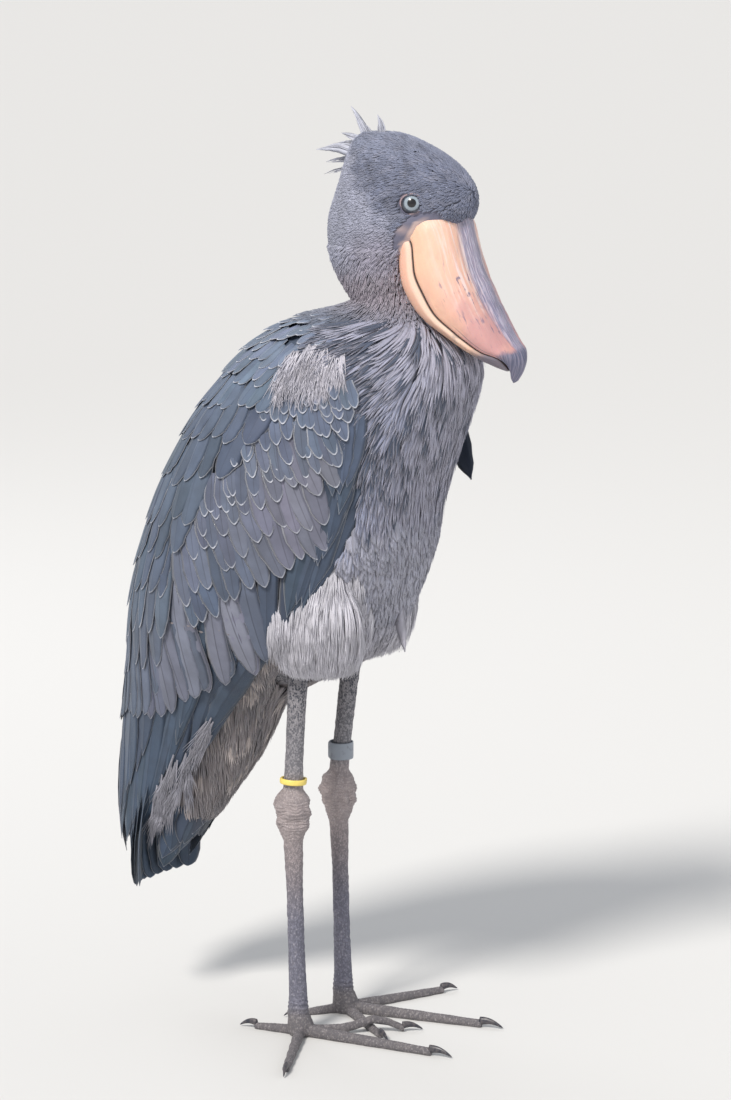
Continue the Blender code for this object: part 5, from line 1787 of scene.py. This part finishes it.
def skin_material():
    """Bare skin: small scales on the legs, fine wrinkles on the face."""
    shader = Shader("skin")
    tint = shader.attribute("tint").outputs["Color"]
    speckle, leg, _ = shader.split(shader.attribute("look").outputs["Vector"])
    place = shader.place()
    tall = shader.place((1.0, 1.0, 0.72))
    cells = shader.voronoi(tall, 620.0, "DISTANCE_TO_EDGE")
    seam = shader.ramp(cells, 0.0, 0.13)
    chance = shader.voronoi(tall, 620.0, "F1", "Color")
    pick = shader.node("ShaderNodeSeparateColor", {0: chance}).outputs[0]
    patch = shader.noise(place, 150.0, 3.0)
    dots = shader.ramp(shader.plus(pick, shader.times(patch, 0.5)), 0.85, 0.60)
    spots = shader.times(shader.times(dots, seam), speckle, clamp=True)
    colour = shader.mix(spots, tint, (0.035, 0.042, 0.062))
    light = shader.times(shader.ramp(pick, 0.80, 0.95), shader.times(leg, 0.22))
    colour = shader.mix(light, colour, (0.50, 0.47, 0.49))
    crease = shader.times(shader.minus(1.0, seam), shader.times(leg, 0.40))
    colour = shader.mix(crease, colour, (0.06, 0.055, 0.07))
    shader.link(colour, "Base Color")
    wrinkle = shader.noise(place, 1400.0, 3.0)
    scales = shader.times(seam, leg)
    low = shader.bump(wrinkle, 0.25, 0.0002)
    shader.link(shader.bump(scales, 0.8, 0.0004, low), "Normal")
    shader.set(Roughness=0.62, Specular_IOR_Level=0.35)
    return shader.material


def bill_material():
    """Horn: peach and pink flanks, whitish streaks, slate ridge and nail, and mauve blotches in front that
    are partly painted shadow.
    """
    shader = Shader("bill_horn")
    along, share, down = shader.split(shader.attribute("bill").outputs["Vector"])
    streak_place = shader.combine(shader.times(along, 14.0), shader.times(down, 190.0))
    place = shader.place()
    streaks = shader.noise(streak_place, 1.0, 5.0, 0.62)
    fine = shader.noise(streak_place, 3.4, 4.0, 0.6)
    cloud = shader.noise(place, 42.0, 4.0, 0.6)
    pinker = shader.ramp(along, 0.02, 0.13)
    colour = shader.mix(pinker, (0.86, 0.53, 0.40), (0.62, 0.34, 0.31))
    low_warm = shader.times(shader.ramp(share, 0.62, 0.95), shader.ramp(along, 0.15, 0.10))
    colour = shader.mix(shader.times(low_warm, 0.45), colour, (0.80, 0.50, 0.32))
    pale = shader.times(shader.ramp(streaks, 0.46, 0.60), shader.ramp(share, 0.80, 0.35))
    pale = shader.times(pale, shader.ramp(along, 0.135, 0.06))
    colour = shader.mix(shader.times(pale, 0.75), colour, (0.84, 0.72, 0.71))
    # Mauve blotches over the front half: partly the horn's own marks and partly painted shadow.
    blotch_and_shadow_place = shader.times(shader.ramp(cloud, 0.50, 0.66), shader.ramp(along, 0.05, 0.12))
    mauve = shader.times(blotch_and_shadow_place, shader.ramp(share, 0.97, 0.55))
    colour = shader.mix(shader.times(mauve, 0.75), colour, (0.34, 0.21, 0.26))
    rose = shader.times(shader.ramp(shader.noise(place, 24.0, 3.0), 0.42, 0.58),
                       shader.ramp(along, 0.03, 0.08))
    colour = shader.mix(shader.times(rose, 0.6), colour, (0.52, 0.28, 0.29))
    mark_place = shader.combine(shader.times(along, 60.0), shader.times(down, 230.0), 7.0)
    marks = shader.times(shader.ramp(shader.noise(mark_place, 1.0, 3.0), 0.57, 0.64),
                        shader.ramp(along, 0.02, 0.06))
    marks = shader.times(marks, shader.ramp(cloud, 0.40, 0.55))
    marks = shader.times(marks, shader.ramp(share, 0.85, 0.60))
    colour = shader.mix(shader.times(marks, 0.85), colour, (0.12, 0.12, 0.22))
    ridge_limit = shader.plus(share, shader.times(shader.minus(streaks, 0.5), 0.30))
    ridge_limit = shader.minus(ridge_limit, shader.ramp(down, 0.0, 0.004, 0.0, 0.12))
    ridge = shader.ramp(ridge_limit, 0.27, 0.15)
    ridge_colour = shader.mix(shader.ramp(fine, 0.42, 0.62), (0.17, 0.18, 0.28), (0.42, 0.41, 0.52))
    colour = shader.mix(shader.times(ridge, 0.9), colour, ridge_colour)
    # Painted shade: a dark line in the crease just above the cutting edge, over the front half.
    crease = shader.times(shader.ramp(shader.math("ABSOLUTE", shader.minus(share, 0.915)),
                                                 0.016, 0.005), shader.ramp(along, 0.09, 0.115))
    colour = shader.mix(shader.times(crease, 0.65), colour, (0.16, 0.12, 0.14))
    nail_limit = shader.plus(along, shader.times(shader.minus(cloud, 0.5), 0.016))
    nail = shader.ramp(nail_limit, 0.145, 0.153)
    nail_colour = shader.mix(shader.ramp(fine, 0.40, 0.60), (0.10, 0.11, 0.18), (0.25, 0.23, 0.31))
    colour = shader.mix(nail, colour, nail_colour)
    shader.link(colour, "Base Color")
    shader.link(shader.ramp(streaks, 0.35, 0.65, 0.36, 0.50), "Roughness")
    low = shader.bump(fine, 0.40, 0.0007)
    mid = shader.bump(streaks, 0.35, 0.0012, low)
    shader.link(shader.bump(shader.noise(place, 300.0, 4.0), 0.30, 0.0003, mid), "Normal")
    shader.set(Specular_IOR_Level=0.42, Subsurface_Weight=0.06, Subsurface_Scale=0.004)
    return shader.material


def lower_bill_material():
    """Peach horn with a pale upper edge, painted shade where that edge tucks under the upper bill, and a
    greyer tip.
    """
    shader = Shader("bill_horn_lower")
    along, share, down = shader.split(shader.attribute("bill").outputs["Vector"])
    streak_place = shader.combine(shader.times(along, 16.0), shader.times(down, 200.0), 3.0)
    streaks = shader.noise(streak_place, 1.0, 5.0, 0.6)
    place = shader.place()
    cloud = shader.noise(place, 50.0, 4.0, 0.6)
    colour = shader.mix(shader.ramp(along, 0.0, 0.12), (0.82, 0.47, 0.35), (0.68, 0.43, 0.31))
    colour = shader.mix(shader.times(shader.ramp(streaks, 0.5, 0.68), 0.4), colour, (0.78, 0.60, 0.50))
    edge = shader.times(shader.ramp(share, 0.17, 0.09), shader.ramp(along, 0.14, 0.11))
    colour = shader.mix(shader.times(edge, 0.7), colour, (0.84, 0.64, 0.52))
    # Darker grey-brown clouds over the front half.
    dark_front_cloud = shader.times(shader.ramp(cloud, 0.52, 0.62), shader.ramp(along, 0.06, 0.12))
    colour = shader.mix(shader.times(dark_front_cloud, 0.45), colour, (0.22, 0.19, 0.18))
    tip_limit = shader.plus(along, shader.times(shader.minus(cloud, 0.5), 0.02))
    colour = shader.mix(shader.ramp(tip_limit, 0.125, 0.143), colour, (0.19, 0.165, 0.20))
    # Painted shade: the top edge that tucks under the upper bill is darkened almost to black.
    colour = shader.mix(shader.ramp(share, 0.045, 0.015), colour, (0.05, 0.035, 0.035))
    shader.link(colour, "Base Color")
    low = shader.bump(streaks, 0.2, 0.0004)
    shader.link(shader.bump(shader.noise(place, 260.0, 3.0), 0.15, 0.0003, low), "Normal")
    shader.link(shader.ramp(streaks, 0.35, 0.65, 0.38, 0.52), "Roughness")
    shader.set(Specular_IOR_Level=0.42, Subsurface_Weight=0.06, Subsurface_Scale=0.004)
    return shader.material


def eye_material():
    """Black pupil, pale blue-grey iris with fine rays and a darker rim, under a wet coat."""
    shader = Shader("eye")
    radius, first, second = shader.split(shader.attribute("gaze").outputs["Vector"])
    spokes = shader.combine(shader.times(first, 9.0), shader.times(second, 9.0),
                            shader.times(radius, 160.0))
    rays = shader.noise(spokes, 3.0, 3.0, 0.6)
    iris = shader.mix(shader.ramp(rays, 0.3, 0.7), (0.20, 0.25, 0.295), (0.38, 0.44, 0.50))
    ring = shader.ramp(radius, IRIS_RADIUS - 0.0024, IRIS_RADIUS - 0.0004)
    colour = shader.mix(ring, iris, (0.06, 0.075, 0.105))
    inner = shader.ramp(radius, PUPIL_RADIUS + 0.0012, PUPIL_RADIUS + 0.0001)
    colour = shader.mix(shader.times(inner, 0.55), colour, (0.16, 0.20, 0.23))
    pupil = shader.ramp(radius, PUPIL_RADIUS + 0.0002, PUPIL_RADIUS - 0.0001)
    colour = shader.mix(pupil, colour, (0.002, 0.002, 0.003))
    white = shader.ramp(radius, IRIS_RADIUS - 0.0002, IRIS_RADIUS + 0.0004)
    colour = shader.mix(white, colour, (0.03, 0.03, 0.04))
    shader.link(colour, "Base Color")
    shader.link(shader.bump(rays, 0.06, 0.0002), "Normal")
    shader.set(Roughness=0.28, Coat_Weight=1.0, Coat_Roughness=0.03, Coat_IOR=1.40, Specular_IOR_Level=0.5)
    return shader.material


def claw_material():
    shader = Shader("claw")
    cloud = shader.noise(shader.place(), 240.0, 4.0)
    colour = shader.mix(shader.ramp(cloud, 0.35, 0.65), (0.030, 0.032, 0.045), (0.095, 0.085, 0.090))
    shader.link(colour, "Base Color")
    shader.link(shader.bump(cloud, 0.25, 0.0002), "Normal")
    shader.link(shader.ramp(cloud, 0.3, 0.7, 0.32, 0.48), "Roughness")
    shader.set(Specular_IOR_Level=0.45)
    return shader.material


def plastic_material(name, colour, dirt, dirt_amount):
    """A worn plastic leg ring with fine scratches and grime."""
    shader = Shader(name)
    place = shader.place()
    cloud = shader.noise(place, 160.0, 4.0, 0.6)
    scratch = shader.noise(shader.place((1, 1, 9)), 420.0, 2.0)
    grime = shader.times(shader.ramp(cloud, 0.5, 0.7), dirt_amount)
    shader.link(shader.mix(grime, colour, dirt), "Base Color")
    shader.link(shader.ramp(scratch, 0.35, 0.65, 0.34, 0.50), "Roughness")
    shader.link(shader.bump(scratch, 0.12, 0.0001), "Normal")
    shader.set(Specular_IOR_Level=0.5)
    return shader.material


def floor_material():
    shader = Shader("floor")
    shader.set(Base_Color=FLOOR_COLOUR, Roughness=0.85, Specular_IOR_Level=0.15)
    return shader.material


# Stage

def add_stage():
    """A plain pale floor, soft daylight from the upper left and the camera."""
    corners = FLOOR_REACH * np.array([(-1.0, -1.0, 0), (1.0, -1.0, 0), (1.0, 1.0, 0), (-1.0, 1.0, 0)])
    floor = new_object("floor", corners, [np.array([[0, 1, 2, 3]])])
    floor.data.materials.append(floor_material())
    world = bpy.data.worlds.new("studio")
    world.use_nodes = True
    sky = world.node_tree.nodes["Background"]
    sky.inputs["Color"].default_value = WORLD_COLOUR
    sky.inputs["Strength"].default_value = WORLD_STRENGTH
    bpy.context.scene.world = world
    bpy.context.scene.view_settings.view_transform = "Standard"
    aim = OFFSET + Vector((0, 0, AIM_HEIGHT))
    key = add_light("key", "SUN", Vector(KEY_PLACE), aim, KEY_STRENGTH, KEY_COLOUR)
    key.angle = KEY_SPREAD
    for name, place, size, energy in SOFT_LAMPS:
        lamp = add_light(name, "AREA", Vector(place), aim, energy, SOFT_COLOUR)
        lamp.shape = "DISK"
        lamp.size = size


def add_light(name, kind, place, aim, energy, colour):
    """A lamp that stands at a place beside its aim."""
    lamp = bpy.data.lights.new(name, kind)
    lamp.energy = energy
    lamp.color = colour
    obj = bpy.data.objects.new(name, lamp)
    obj.location = aim + place
    obj.rotation_euler = (-place).to_track_quat("-Z", "Y").to_euler()
    bpy.context.scene.collection.objects.link(obj)
    return lamp


def add_camera():
    data = bpy.data.cameras.new("camera")
    data.sensor_fit = "VERTICAL"
    data.sensor_height = CAMERA_SENSOR
    data.lens = CAMERA_LENS
    data.clip_end = 100.0
    camera = bpy.data.objects.new("camera", data)
    camera.location = Vector(CAMERA_PLACE) + OFFSET
    camera.rotation_euler = Vector(CAMERA_LOOK).to_track_quat("-Z", "Y").to_euler()
    bpy.context.scene.collection.objects.link(camera)
    bpy.context.scene.camera = camera


def swell_face(mesh, bill):
    """Raises the bare skin round the bill, with folds that follow the bill's edge."""
    points, normals = mesh_arrays(mesh)
    face = np.flatnonzero(points[:, 2] > 0.872)
    gap = bill.height_over(points[face])
    angle = degrees_round(points[face])
    bare = ramp(gap, 0.0125, 0.0070) * ramp(angle, 16, 34)
    folds = np.sin((gap + 0.0006 * ripple(points[face], 0.008, SEED + 8)) * 2 * math.pi / 0.0026)
    points[face] += normals[face] * (bare * (0.0017 + 0.00028 * folds))[:, None]
    move_points(mesh, points)


def make_skin(bill):
    """The whole skin as one piece, with its lids. Returns the surface that the coat grows on."""
    body = skin_body()
    swell_face(body.data, bill)
    points, _ = mesh_arrays(body.data)
    faces = triangles_of(body.data)
    skin = Surface(points, faces[~is_leg(points[faces].mean(axis=1))])
    tint, look = skin_attributes(points, bill)
    add_attribute(body.data, "tint", tint)
    add_attribute(body.data, "look", look)
    add_bake_map(body.data, bake_place(points))
    for side in (-1, 1):
        lid_points, lid_faces, lid_tint = make_lids(side, skin.form)
        count = len(lid_points)
        lids = new_object("lids", lid_points, lid_faces, {
            "tint": np.hstack([lid_tint, np.ones((count, 1))]),
            "look": np.tile((0.0, 0.0, 1.0), (count, 1)),
        }, bake_place(lid_points))
        with bpy.context.temp_override(active_object=body, selected_editable_objects=[body, lids]):
            bpy.ops.object.join()
    legs = [f"{part}_{name}" for name in ("right", "left") for part in LEG_PARTS]
    toes = [f"toe_{name}_{toe[0]}" for name in ("right", "left") for toe in TOES[name]]
    flesh = ["head", "neck", "trunk", "thigh_left", "thigh_right", *legs, *toes]
    finish_piece(body, skin_material(), flesh)
    return skin


def main():
    bill = Form(*cad_mesh("bill_upper", "bill_lower"))
    skin = make_skin(bill)
    make_upper_bill(bill_material())
    make_lower_bill(lower_bill_material())
    eye = eye_material()
    for side in (-1, 1):
        make_eye(side, eye)
    claw = claw_material()
    for name in ("right", "left"):
        make_claws(name, claw)
    for spec, (colour, dirt, amount) in zip(LEG_RINGS, RING_COLOURS):
        make_leg_ring(spec, plastic_material(spec[0], colour, dirt, amount))
    feather = feather_material()
    angles = full_turn(160)
    outline = [surface(angles, np.full(160, height)) for height in np.arange(0.152, 1.0045, 0.004)]
    points, groups = loft_arrays(outline)
    form = Form(points, groups[0].tolist())
    for side in (-1, 1):
        make_wing(side, form, feather)
    make_tail(feather)
    make_crest(feather)
    make_loose_feathers(feather)
    for coat in COATS:
        lay_coat(coat, skin, bill, feather)
    add_stage()
    add_camera()


main()
